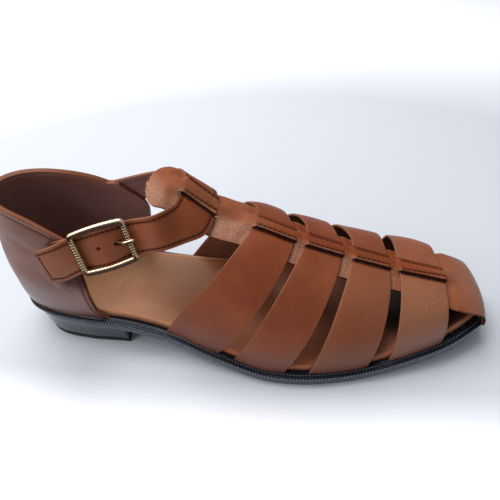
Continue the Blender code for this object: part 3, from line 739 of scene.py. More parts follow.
def leather_finish(name, c, rough=0.46, shine=0.2, grain=850.0, depth=0.00022, sheen=0.36, dye=1.0, coat=0.0,
                   dull=0.42):
    """Tan leather: clouded dye, fine grain, open grain with a painted sheen, painted light, rubbed edges, stitch
    rows darkened by dirt and painted shade, and painted shadow.

    The sheen and the coat come in where the leather is marked as polished, and a greyer colour there is a painted
    sheen.
    """
    tree, shader = new_finish(name)
    spots = object_spots(tree)
    cloud = span(tree, noise(tree, spots, 34.0, 4.0), 0.32, 0.68)
    colour = mix(tree, cloud, toned(c["leather_deep"], dye), toned(c["leather_lit"], dye))
    fine = noise(tree, spots, 1500.0, 2.0)
    cells = add_node(tree, "ShaderNodeTexVoronoi", {"Vector": spots, "Scale": grain}, feature="F1")
    height = times(tree, cells.outputs["Distance"], times(tree, fine, 0.6), "ADD")
    speck = span(tree, noise(tree, spots, 1000.0, 3.0, 0.7), 0.36, 0.64, 0.25, 1.0)
    faint = span(tree, noise(tree, spots, 1200.0, 2.0, 0.7), 0.3, 0.7, 0.6, 1.0)
    # Painted light on the lit parts of the leather, broken by faint noise
    colour = mix(tree, times(tree, mark(tree, "faded"), faint), colour, c["leather_faded"])
    # Open grain: a lighter colour with a painted sheen in it, and a coarser relief
    share = times(tree, mark(tree, "pale"), speck)
    colour = mix(tree, share, colour, c["leather_pale"])
    height = times(tree, height, times(tree, share, 1.4), "ADD")
    # Painted sheen where the leather is polished: a greyer colour for the floor's reflection
    colour = mix(tree, times(tree, mark(tree, "polish"), dull), colour, c["leather_dull"])
    colour = mix(tree, times(tree, mark(tree, "rim"), 0.5), colour, c["cut_edge"])
    # Darker stitch rows: dirt and painted shade in their furrows; darker leather along the counter's front edge
    dark = toned(c["leather_deep"], 0.2)
    colour = mix(tree, times(tree, mark(tree, "seam"), 0.7), colour, dark)
    # Painted shadow, broken by noise
    ragged = span(tree, noise(tree, spots, 700.0, 2.0, 0.6), 0.25, 0.6, 0.6, 1.0)
    colour = mix(tree, times(tree, mark(tree, "slit"), ragged), colour, c["slit_edge"])
    tree.links.new(colour, shader.inputs["Base Color"])
    gloss = times(tree, times(tree, mark(tree, "polish"), sheen), shine, "ADD")
    gloss = times(tree, gloss, span(tree, mark(tree, "seam"), 0.0, 1.0, 1.0, 0.3))
    gloss = times(tree, gloss, span(tree, mark(tree, "slit"), 0.0, 1.0, 1.0, 0.1))
    tree.links.new(gloss, shader.inputs["Specular IOR Level"])
    if coat:
        shader.inputs["Coat Roughness"].default_value = 0.3
        tree.links.new(times(tree, mark(tree, "polish"), coat), shader.inputs["Coat Weight"])
    wear = span(tree, noise(tree, spots, 70.0, 3.0), 0.3, 0.7, rough - 0.07, rough + 0.08)
    tree.links.new(wear, shader.inputs["Roughness"])
    roughen(tree, shader, height, 0.35, depth)


def raw_finish(name, deep, lit, scale, rough=0.8, shine=0.2, depth=0.0002, worn=None):
    """Unfinished leather, lining or thread: matt, with a fibrous surface."""
    tree, shader = new_finish(name, Roughness=rough, Specular_IOR_Level=shine)
    spots = object_spots(tree)
    fibre = noise(tree, spots, scale, 4.0, 0.65)
    colour = mix(tree, span(tree, noise(tree, spots, scale * 0.06, 3.0), 0.3, 0.7), deep, lit)
    # Painted light on the lining below the collar, where a colour for it is given
    if worn:
        colour = mix(tree, mark(tree, "worn"), colour, worn)
    colour = mix(tree, span(tree, fibre, 0.35, 0.65, 0.0, 0.35), colour, toned(deep, 0.6))
    tree.links.new(colour, shader.inputs["Base Color"])
    roughen(tree, shader, fibre, 0.4, depth)


def footbed_finish(name, c):
    """Vegetable-tanned footbed: smooth, clouded, with painted shade under the bands and deep under the toes, a
    painted highlight on its rolled rim and painted light at its outer edge between the bands.
    """
    tree, shader = new_finish(name, Specular_IOR_Level=0.25)
    spots = object_spots(tree)
    cloud = span(tree, noise(tree, spots, 26.0, 5.0, 0.6), 0.3, 0.7)
    colour = mix(tree, cloud, c["insole_deep"], c["insole_lit"])
    scuff = span(tree, noise(tree, spots, 160.0, 5.0, 0.7), 0.52, 0.7, 0.0, 0.3)
    colour = mix(tree, scuff, colour, toned(c["insole_deep"], 0.7))
    # Painted shade under the bands and the toe, less of it on the rim; the rim's painted highlight; painted light
    # at the outer edge between the bands
    rim = mark(tree, "rim")
    bed = span(tree, rim, 0.0, 1.0, 1.0, 0.12)
    colour = mix(tree, times(tree, mark(tree, "front"), bed), colour, c["insole_front"])
    colour = mix(tree, times(tree, mark(tree, "toe"), bed), colour, c["insole_toe"])
    colour = mix(tree, times(tree, rim, 0.5), colour, c["insole_rim"])
    colour = mix(tree, mark(tree, "flank"), colour, c["insole_flank"])
    tree.links.new(colour, shader.inputs["Base Color"])
    tree.links.new(span(tree, cloud, 0.0, 1.0, 0.42, 0.56), shader.inputs["Roughness"])
    pores = noise(tree, spots, 1300.0, 3.0, 0.6)
    roughen(tree, shader, pores, 0.25, 0.0002)


def sole_finish(name, colour, rough, shine, coat):
    """Black sole edge: inked and polished, with faint brush marks and dust."""
    tree, shader = new_finish(name, Specular_IOR_Level=shine, Specular_Tint=(0.84, 0.92, 1.0, 1.0),
                              Coat_Weight=coat, Coat_Roughness=0.12)
    spots = object_spots(tree)
    dust = span(tree, noise(tree, spots, 95.0, 5.0, 0.65), 0.55, 0.8, 0.0, 0.4)
    tree.links.new(mix(tree, dust, colour, [2.0 * c + 0.002 for c in colour]), shader.inputs["Base Color"])
    streak = noise(tree, spots, 480.0, 3.0, 0.6)
    tree.links.new(span(tree, streak, 0.3, 0.7, rough - 0.06, rough + 0.1), shader.inputs["Roughness"])
    roughen(tree, shader, streak, 0.2, 0.0002)


def metal_finish(name, colour, dark):
    """Gilt metal with faint rubbing, and painted shade on its under sides."""
    tree, shader = new_finish(name, Metallic=0.88)
    spots = object_spots(tree)
    rub = noise(tree, spots, 420.0, 4.0, 0.6)
    worn = mix(tree, span(tree, rub, 0.4, 0.75), colour, toned(colour, 0.8))
    tree.links.new(mix(tree, mark(tree, "under"), worn, dark), shader.inputs["Base Color"])
    tree.links.new(span(tree, rub, 0.3, 0.7, 0.18, 0.3), shader.inputs["Roughness"])


# Sole, heel and footbed
def sole_grid(margin, height, rows, cols):
    flat = Outline(margin).rows(rows, cols)
    return np.dstack([flat, height(flat[..., 0])])


def ring_solid(grids, marks=None, rim=None):
    """Closed solid whose top and bottom are grids, with a rim drawn through the grids between and marked."""
    bm = new_grid(grids[0], marks)
    row_of, col_of = bm.verts.layers.int["row"], bm.verts.layers.int["col"]
    edges = [e for e in bm.edges if e.is_boundary]
    corners = []
    for index, grid in enumerate(grids[1:]):
        grown = bmesh.ops.extrude_edge_only(bm, edges=edges)["geom"]
        corners = [g for g in grown if isinstance(g, bmesh.types.BMVert)]
        spots = place(grid)
        for v in corners:
            v.co = spots[v[row_of], v[col_of]]
            if rim:
                v[bm.verts.layers.float["rim"]] = rim[index]
        fresh = set(corners)
        edges = [g for g in grown if isinstance(g, bmesh.types.BMEdge) and set(g.verts) <= fresh]
    bottom = add_grid(bm, grids[-1])
    bmesh.ops.remove_doubles(bm, verts=corners + bottom, dist=1e-7)
    bmesh.ops.recalc_face_normals(bm, faces=bm.faces)
    return bm


def undercut(grid, depth):
    """Draw the back of a sole layer forward under the welt."""
    grid[..., 0] += depth * (1 - ease(grid[..., 0] / UNDERCUT_RUN))
    return grid


def heel_sheet(inset, height):
    """Sheet of the heel's outline up to its hollowed breast."""
    edge = Outline(inset)
    shares = np.linspace(-1.0, 1.0, SOLE_COLS)
    turns = np.linspace(HEEL_TURN, math.pi / 2, HEEL_ROWS)
    stations = edge.start + (BREAST - edge.start) * (1 - np.cos(turns))
    grid = []
    for station in stations:
        bow = (stations[0] - edge.start) * max(1.0 - station / END_RUN, 0.0) ** 3
        bow = bow + BREAST_HOLLOW * (station / BREAST) ** 6
        sides = np.interp(shares, (-1.0, 1.0), (edge.lateral(station), edge.medial(station)))
        along = station - bow * (1 - shares ** 2)
        grid.append(np.stack([along, sides, height(along)], axis=1))
    return np.array(grid)


# Raw leathers, lining and threads: name, colour, its deep and lit tone, and how fine its fibres are
RAW_FINISHES = (
    ("cut_edge", "cut_edge", 1.0, 1.3, 1400.0),
    ("slit_edge", "slit_edge", 1.0, 1.3, 1400.0),
    ("flesh_side", "flesh", 1.0, 1.35, 1100.0),
    # A darker copy of the flesh side: painted shade inside the bands
    ("flesh_dark", "flesh", 0.42, 0.55, 1100.0),
    ("counter_lining", "lining", 1.0, 1.4, 700.0),
    ("thread", "thread", 1.0, 1.6, 2600.0),
    ("counter_thread", "thread", 2.2, 3.0, 2600.0),
)
RAW_LOOKS = {"lining": {"rough": 0.62}, "thread": {"shine": 0.04}}

# Blacks of the sole: name, tone, roughness, shine and coat
SOLE_FINISHES = (
    ("sole_edge", 3.0, 0.27, 0.95, 0.4),
    ("welt_edge", 1.0, 0.16, 0.2, 0.04),
    # The wheel marks take lighter blacks: a painted highlight along the welt's stitches
    ("wheel_marks", 7.0, 0.25, 0.9, 0.4),
    ("wheel_marks_low", 14.0, 0.3, 0.9, 0.4),
    ("heel_edge", 1.3, 0.3, 0.8, 0.35),
    ("lift_rubber", 0.8, 0.6, 0.3, 0.0),
)


class SANDAL_OT_finishes(bpy.types.Operator):
    """Make the leathers, the sole's blacks, the thread and the gilt"""
    bl_idname = "sandal.finishes"
    bl_label = "Finishes"

    def execute(self, context):
        c = {name: list(getattr(context.scene.sandal_colours, name)) for name in SandalColours.__annotations__}
        leather_finish("band_leather", c, sheen=0.22, dull=0.5)
        leather_finish("strap_leather", c, shine=0.08, grain=620.0, depth=0.0003, sheen=0.95, dull=0.1)
        leather_finish("front_leather", c, shine=0.34, grain=620.0, depth=0.00045, sheen=0.33)
        leather_finish("counter_leather", c, rough=0.36, shine=0.46, sheen=0.5, dye=0.64, coat=0.5)
        for name, colour, deep, lit, scale in RAW_FINISHES:
            raw_finish(name, toned(c[colour], deep), toned(c[colour], lit), scale, worn=c.get(colour + "_worn"),
                       **RAW_LOOKS.get(colour, {}))
        footbed_finish("footbed", c)
        for name, tone, rough, shine, coat in SOLE_FINISHES:
            sole_finish(name, toned(c["sole_black"], tone), rough, shine, coat)
        metal_finish("buckle_gilt", c["metal"], c["metal_dark"])
        return {"FINISHED"}


# Grids of the sole layers and the heel
SOLE_ROWS = 260
SOLE_COLS = 15
HEEL_ROWS = 70
HEEL_TURN = 0.17

# Profiles of the layers, from the top over the edge to the underside: inset from the outline, and height
OUTSOLE_PROFILE = (
    (2.6, OUTSOLE_THICK - 0.05), (0.95, OUTSOLE_THICK - 0.1), (0.55, OUTSOLE_THICK - 0.45),
    (0.42, OUTSOLE_THICK - 1.1), (0.42, 1.0), (0.62, 0.35), (1.15, 0.06), (2.6, 0.0), (6.0, 0.0),
)
LIFT_PROFILE = (
    (2.1, LIFT_THICK), (1.75, LIFT_THICK - 0.15), (1.6, LIFT_THICK - 0.5), (1.65, 0.6), (1.85, 0.15), (2.3, 0.0),
)

# The welt's heights count from its top and leave a groove for its stitches
WELT_PROFILE = (
    (7.0, 0.0), (3.7, 0.0), (2.97, -0.05), (2.62, -0.3), (2.07, -0.3), (1.77, -0.02), (0.9, 0.0),
    (0.3, -0.14), (0.06, -0.45), (0.0, -0.9), (0.0, -1.8), (0.15, -2.35), (0.6, -2.72), (1.4, -2.8),
)

# The heel's heights are shares of the way from its wearing layer up to the outsole
HEEL_PROFILE = ((0.9, 1.0), (0.95, 0.94), (1.25, 0.5), (1.5, 0.08), (1.7, 0.03), (2.0, 0.0))
HEEL_FOOT = LIFT_THICK + 0.1
HEEL_TOP_GAP = 0.05

# Rows of wheel marks on the welt: inset from its edge, drop below its top and outward lean
WHEEL_ROWS = ((2.35, 0.15, 0.0), (-0.05, 0.75, 1.0))
WHEEL_SHARE = 0.72
WHEEL_WIDTH = 0.8
WHEEL_HEIGHT = 0.6
WHEEL_END = 1.0


class SANDAL_OT_sole(bpy.types.Operator):
    """Build the outsole, the welt with its stitches, the heel and its wearing layer"""
    bl_idname = "sandal.sole"
    bl_label = "Sole and heel"

    def execute(self, context):
        grids = [undercut(sole_grid(m, lambda s, h=h: underside(s) + h, SOLE_ROWS, SOLE_COLS), OUTSOLE_UNDERCUT)
                 for m, h in OUTSOLE_PROFILE]
        new_piece("outsole_dressed", ring_solid(grids), ["sole_edge"], "outsole")
        grids = [sole_grid(m, lambda s, h=h: welt_top(s) + h, SOLE_ROWS, SOLE_COLS) for m, h in WELT_PROFILE]
        new_piece("welt_dressed", ring_solid(grids), ["welt_edge"], "welt")
        grids = []
        for inset, share in HEEL_PROFILE:
            sheet = heel_sheet(inset, lambda s, k=share: HEEL_FOOT + (underside(s) - HEEL_TOP_GAP - HEEL_FOOT) * k)
            grids.append(undercut(sheet, HEEL_UNDERCUT + (OUTSOLE_UNDERCUT - HEEL_UNDERCUT) * share))
        new_piece("heel_dressed", ring_solid(grids), ["heel_edge"], "heel")
        grids = [undercut(heel_sheet(m, lambda s, h=h: np.full_like(s, h)), HEEL_UNDERCUT) for m, h in LIFT_PROFILE]
        new_piece("top_lift_dressed", ring_solid(grids), ["lift_rubber"], "top_lift")
        self.stitches(context.scene.sandal_sizes.welt_pitch / MM)
        return {"FINISHED"}

    def stitches(self, pitch):
        """Sew the rows of wheel marks along both sides of the welt, each row with its own finish of painted
        highlight.
        """
        bm = bmesh.new()
        stitch = (WHEEL_SHARE * pitch, WHEEL_WIDTH, WHEEL_HEIGHT)
        for finish, (margin, drop, lean) in enumerate(WHEEL_ROWS):
            edge = Outline(margin)
            for side, sign in ((edge.lateral_side, -1.0), (edge.medial_side, 1.0)):
                path = np.column_stack([side, welt_top(side[:, 0]) - drop])
                up = np.tile((0.0, sign * lean, 1.0), (len(path), 1))
                before = len(bm.faces)
                sew(bm, path, up, stitch, pitch, WHEEL_END, WHEEL_END)
                bm.faces.ensure_lookup_table()
                for face in bm.faces[before:]:
                    face.material_index = finish
        new_piece("welt_stitches", bm, ["wheel_marks", "wheel_marks_low"])


# Footbed: grid, profile over its rolled rim, and how much of the rim's painted highlight each ring below the top
# takes
FOOTBED_ROWS = 240
FOOTBED_COLS = 25
FOOTBED_PROFILE = (
    (14.0, -0.15), (10.5, 0.0), (9.3, 0.02), (8.8, -0.1), (8.4, -0.3), (8.0, -0.12), (7.4, 0.12),
    (6.8, 0.12), (6.2, -0.15), (5.75, -0.75), (5.6, -1.6), (5.6, -INSOLE_THICK),
)
FOOTBED_RIM = (0.1, 0.15, 0.15, 0.2, 0.5, 0.9, 1.0, 0.9, 0.5, 0.2, 0.0)

# Hollows under the heel and the ball: depth, then place and width as shares of the length
HOLLOWS = ((1.5, 0.16, 0.17), (0.8, 0.66, 0.2))
HOLLOW_ENDS = 12
ARCH_RISE = 1.6
ARCH_STATION = 108.0
ARCH_RUN = 30.0
ARCH_SIDE = (8.0, 18.0)

# Painted shade on the footbed, start and run: under the bands and at the toe; painted light along the outer edge
# between the bands and across to that edge
SHADE_FRONT = (58.0, 72.0)
SHADE_TOE = (185.0, 60.0)
SHADE_FLANK = (118.0, 14.0)
SHADE_OUTER = (6.0, -24.0)
FRONT_SHARE = 0.97
TOE_SHARE = 0.92
OUTER_SHARE = 0.92

# How far the light comes in from the edge: at the heel, further under the bands and less at the toe
EDGE_LIGHT = 17.0
EDGE_BANDS = 25.0
EDGE_TOE = 33.6
BANDS_RUN = (112.0, 24.0)
TOE_RUN = (205.0, 44.0)


class SANDAL_OT_footbed(bpy.types.Operator):
    """Build the leather footbed with its rolled rim"""
    bl_idname = "sandal.footbed"
    bl_label = "Footbed"

    def execute(self, context):
        grids = [sole_grid(m, lambda s, h=h: welt_top(s) + INSOLE_THICK + h, FOOTBED_ROWS, FOOTBED_COLS)
                 for m, h in FOOTBED_PROFILE]
        shares = np.linspace(-1.0, 1.0, FOOTBED_COLS)
        along = np.linspace(0.0, 1.0, FOOTBED_ROWS)[:, None]
        cup = sum(depth * dip(along - spot, width) for depth, spot, width in HOLLOWS)
        cup = cup * np.minimum(1.0, HOLLOW_ENDS * along * (1 - along))
        grids[0][..., 2] -= cup * (1 - shares ** 2) ** 2
        for grid in grids[:-1]:
            arch = ARCH_RISE * dip(grid[..., 0] - ARCH_STATION, ARCH_RUN)
            grid[..., 2] += arch * ramp(grid[..., 1], *ARCH_SIDE)
        station, side = grids[0][..., 0], grids[0][..., 1]
        reach = EDGE_LIGHT + EDGE_BANDS * ramp(station, *BANDS_RUN) - EDGE_TOE * ramp(station, *TOE_RUN)
        border = FOOTBED_PROFILE[0][0] - FOOTBED_PROFILE[-1][0] + np.minimum(*border_runs(grids[0], 1))
        inward = ease(border / reach)
        outer = ramp(side, *SHADE_OUTER) * (1 - inward)
        # Marks of painted shade under the bands and the toe, and of painted light at the outer edge between the
        # bands
        marks = {"front": FRONT_SHARE * ramp(station, *SHADE_FRONT) * (1 - OUTER_SHARE * outer),
                 "flank": ramp(station, *SHADE_FLANK) * outer,
                 "toe": TOE_SHARE * ramp(station, *SHADE_TOE) * inward, "rim": np.zeros(station.shape)}
        new_piece("footbed", ring_solid(grids, marks, FOOTBED_RIM), ["footbed"], "insole")
        return {"FINISHED"}


# Upper
def counter_side(station, height):
    """Half-width of the counter's outer face."""
    back, power = counter_back(height), counter_round(height)
    reach = np.clip((COUNTER_FULL - station) / (COUNTER_FULL - back), 0.0, 1.0)
    return counter_half(height) * (1.0 - reach ** power) ** (1.0 / power)


# Counter: grid, rounds until its heights settle, and how far it is tucked below the welt's top
COUNTER_ROWS = 221
COUNTER_COLS = 81
COUNTER_ROUNDS = 14
COUNTER_TUCK = 0.15

# Stitch rows of the counter: insets from the collar and the front edge, furrow, and free ends
COLLAR_ROW = 3.6
FRONT_ROW = 2.4
FURROW = 0.7
COLLAR_ENDS = 3.0
FRONT_ENDS = (1.0, 6.0)

# Rolled collar (rise, inset, width) with its round edge, seam up the back, and the slow swell of worn leather
COLLAR_ROLL = (0.5, 1.7, 1.3)
COLLAR_ROUND = 0.42
COLLAR_SEGMENTS = 4
BACK_SEAM = 0.55
BACK_END = 20.0
SWELL = 0.22
SWELL_UP = 0.21
SWELL_ALONG = 0.13

# Soft creases of the counter's lateral side: station, height, lean, depth and width
CREASES = (
    (40.0, 50.0, -0.9, 0.5, 2.4),
    (50.0, 44.0, -1.1, 0.45, 2.2),
    (30.0, 76.0, -0.35, 0.4, 2.6),
    (24.0, 60.0, 0.5, 0.3, 3.0),
)
CREASE_RUN = 9.0

# Looks of the counter, start and run: polish with a painted sheen near the sole, painted light on the lining below
# the collar, and painted shadow below the strap's tip
COUNTER_RIM = 2.2
COUNTER_POLISH_SHEEN = (56.0, -34.0)
LINING_PAINTED_LIGHT = (17.0, -13.0)
LINING_LIGHT_SHARE = 0.6
FRONT_DARK = (0.75, 1.6, 1.7)
TIP_SHADE = 0.95
TIP_LOW = (41.0, 15.0)
TIP_HIGH = (64.0, -3.0)
TIP_BACK = (40.0, 9.0)

BACKWARD = (-1.0, 0.0, 0.0)
UPWARD = (0.0, 0.0, 1.0)


def counter_sheet(rows, cols):
    """Outer face of the counter, from the lateral front round the heel to the medial front."""
    turn, share = np.meshgrid(np.linspace(-math.pi / 2, math.pi / 2, rows), np.linspace(0.0, 1.0, cols),
                              indexing="ij")
    height, station = np.full(turn.shape, 50.0), np.full(turn.shape, 30.0)
    for _ in range(COUNTER_ROUNDS):
        front = np.where(turn < 0, front_lateral(height), front_medial(height))
        station = front - (front - counter_back(height)) * np.cos(turn)
        base = welt_top(station) - COUNTER_TUCK
        height = base + share * (collar_height(station) - base)
    side = counter_side(station, height) * np.sign(np.where(np.abs(turn) < 1e-6, 0.0, turn))
    return np.stack([station, side, height], axis=-1)


class SANDAL_OT_counter(bpy.types.Operator):
    """Build the lined heel counter with its rolled collar and stitch rows"""
    bl_idname = "sandal.counter"
    bl_label = "Heel counter"

    def execute(self, context):
        sizes = context.scene.sandal_sizes
        grid = counter_sheet(COUNTER_ROWS, COUNTER_COLS)
        normals = grid_normals(grid, BACKWARD)
        _, below = border_runs(grid, 1)
        ends = np.minimum(*border_runs(grid, 0))
        under_row = ramp(below, COLLAR_ROW, 2.0)
        seam = np.maximum(dip(below - COLLAR_ROW, FURROW), dip(ends - FRONT_ROW, FURROW) * under_row)
        grid = grid + normals * self.relief(grid, below, sizes.seam_depth / MM * seam)[..., None]
        station, side, height = np.moveaxis(grid, 2, 0)
        share, inset, width = FRONT_DARK
        shade = TIP_SHADE * ramp(height, *TIP_LOW) * ramp(height, *TIP_HIGH) * ramp(station, *TIP_BACK)
        # Marks: rubbed rim, darker stitch rows and front edge, polish with its painted sheen, painted light on the
        # lining, painted shadow below the strap's tip
        marks = {"rim": np.clip(1 - border_distance(grid) / COUNTER_RIM, 0, 1),
                 "seam": np.maximum(seam, share * dip(ends - inset, width) * under_row),
                 "polish": ramp(height, *COUNTER_POLISH_SHEEN), "worn": LINING_LIGHT_SHARE * ramp(below, *LINING_PAINTED_LIGHT),
                 "slit": shade * (side < 0)}
        finishes = ("counter_leather", "counter_lining", "band_leather")
        new_leather("heel_counter", new_grid(grid, marks), BACKWARD, finishes, sizes.counter_wall,
                    COLLAR_ROUND * sizes.counter_wall, COLLAR_SEGMENTS)
        thread, pitch = thread_size(sizes, 0.8), sizes.stitch_pitch / MM
        bm = bmesh.new()
        path, lean = track(grid, normals, COLLAR_ROW, far=True)
        sew(bm, path, lean, thread, pitch, COLLAR_ENDS, COLLAR_ENDS)
        turned, tilted = grid.transpose(1, 0, 2), normals.transpose(1, 0, 2)
        for far in (False, True):
            path, lean = track(turned, tilted, FRONT_ROW, far=far)
            sew(bm, path, lean, thread, pitch, *FRONT_ENDS)
        new_piece("counter_stitches", bm, ["counter_thread"])
        return {"FINISHED"}

    def relief(self, grid, below, furrow):
        """How far the leather stands out: rolled collar, stitch furrows, back seam, swell and creases."""
        station, side, height = np.moveaxis(grid, 2, 0)
        rise, inset, width = COLLAR_ROLL
        push = rise * dip(below - inset, width) - furrow
        push = push - BACK_SEAM * dip(side, BACK_SEAM) * (station < BACK_END)
        push = push + SWELL * np.sin(height * SWELL_UP + 1.0) * np.sin(station * SWELL_ALONG)
        for spot, level, lean, depth, width in CREASES:
            along = (station - spot) * math.cos(lean) + (height - level) * math.sin(lean)
            across = (height - level) * math.cos(lean) - (station - spot) * math.sin(lean)
            push = push - depth * dip(across, width) * dip(along, CREASE_RUN) * (side < 0)
        return push


# Centre strap: grid, share of its width in the strip between the slits, and the round end of the tab
STRAP_ROWS = 320
STRAP_COLS = 41
TOE_ROWS = 40
STRIP_SHARE = 0.3
TAB_ROUND = 1.6
TAB_ROUND_RUN = 5.0
TOE_TUCK = 0.4
TOE_LEAD = 0.75

# Where the strip's medial half widens and narrows again, and where the medial wing is narrower: start and run
WIDE_FROM = (102.0, 9.0)
WIDE_TO = (150.0, -16.0)
NARROW_FROM = (150.0, 20.0)
NARROW_TO = (258.0, -12.0)

# How the strap lies at a crossing: the strip rises over the band, the wings dip under it
STRIP_RAISE = 2.15
STRIP_RUN = 10.0
STRIP_CROWN = 0.2
STRIP_JOIN = (STRIP_HALF + 3.0, -5.5)
WING_DIP = 0.95
WING_LEAD = 6.9
WING_RUN = 6.0
SLIT_PAST = 1.2
SLIT_OPEN = 1.8

# Stitch rows of the strip: insets from its lateral edge at the rear and front of a crossing, and medial
ROW_LATERAL = ((1.5, 3.0), (1.7, 1.9), (1.7, 2.0), (1.7, 2.2), (1.4, 3.0))
ROW_MEDIAL = 1.5
ROW_REAR = 0.6
ROW_FRONT = 0.2
ROW_FURROW = 0.8
CROSS_STITCH = 1.3
CROSS_PITCH = 1.4

# Looks of the strap: open grain with a painted sheen beside the strip and on the tab, painted light on the toe and
# the instep, and the polished toe with a painted sheen
PALE_SHARES = (-0.36, -0.12)
PALE_END = (262.0, -60.0)
TAB_PALE = (113.0, -6.0)
PATCH_SLOPE = (0.75, 0.9)
PATCH_STATION = 104.0
PATCH_EDGE = (-3.0, 11.0)
PAINTED_LIGHT_TOE = (240.0, 30.0)
PAINTED_LIGHT_INSTEP = (172.0, -22.0)
PAINTED_LIGHT_SHARES = (0.5, 0.34)
TOE_POLISH_SHEEN = (266.0, 16.0)
TOE_EDGE = 0.96
STRAP_RIM = 1.6


def strip_widening(station):
    """Extra width of the strip's medial half where it crosses the ankle strap."""
    return STRIP_MEDIAL * ramp(station, *WIDE_FROM) * ramp(station, *WIDE_TO)


def centre_sheet(shares):
    """Inner face of the centre strap from the tab over the instep and down the toe, with its stations."""
    stations = np.linspace(TAB_START, TOE_START, STRAP_ROWS - TOE_ROWS)
    half = strap_half(stations)[:, None]
    narrow = MEDIAL_NARROW * ramp(stations, *NARROW_FROM) * ramp(stations, *NARROW_TO)
    half = half * (1 - narrow[:, None] * (shares > 0))
    strip = np.minimum(STRIP_HALF, 0.5 * half) + strip_widening(stations)[:, None] * (shares > 0)
    inner = np.clip(np.abs(shares) / STRIP_SHARE, 0, 1)
    outer = np.clip((np.abs(shares) - STRIP_SHARE) / (1 - STRIP_SHARE), 0, 1)
    offset = np.sign(shares) * (strip * inner + (half - strip) * outer)
    end_bow = TAB_ROUND * np.clip(1 - (stations - TAB_START) / TAB_ROUND_RUN, 0, 1)[:, None]
    body = centre_point(stations[:, None] + end_bow * (offset / half) ** 2, offset)
    wide = np.linspace(0.0, 1.0, TOE_ROWS + 1)[1:, None]
    flat = offset[-1] / half[-1]
    side = ridge_side(TOE_START) + flat * ((1 - wide) * strap_half(TOE_START) + wide * strap_half(LENGTH))
    start = last_point(TOE_START, side)
    along = start - last_point(TOE_START - 2.0, side)
    along = along / np.linalg.norm(along, axis=-1, keepdims=True)
    end_station = TOE_FRONT - TOE_BOW * side ** 2
    end = np.stack([end_station, side, feather_height(end_station) - TOE_TUCK], axis=-1)
    reach = np.minimum(TOE_REACH, TOE_LEAD * (end_station - TOE_START))[..., None]
    t = wide[..., None]
    lead, rise = start + along * reach, end + np.array([0.0, 0.0, TOE_RISE])
    toe = (1 - t) ** 3 * start + t ** 3 * end + 3 * t * (1 - t) * ((1 - t) * lead + t * rise)
    return np.concatenate([body, toe]), np.concatenate([stations, np.full(TOE_ROWS, LENGTH)])


def crossings():
    """Stations between which the ankle strap and each band pass under the strip."""
    tops = BAND_COLUMNS.index("rear_top"), BAND_COLUMNS.index("front_top")
    return [(CROSSING_UPPER, CROSSING_LOWER)] + [(band[tops[0]], band[tops[1]]) for band in BANDS]


def under_bands(station, side):
    """How far strap points lie inside the band over them; negative in the gaps between bands."""
    bend = CROSSING_BEND * (side - ridge_side(station)) ** 2
    inside = np.minimum(station - CROSSING_UPPER + bend, CROSSING_LOWER - bend - station)
    for band in BANDS:
        sheet = band_sheet(band, 81, 2)
        rear, front = (np.interp(side, sheet[:, k, 1], sheet[:, k, 0]) for k in (0, 1))
        inside = np.maximum(inside, np.minimum(station - rear, front - station))
    return inside


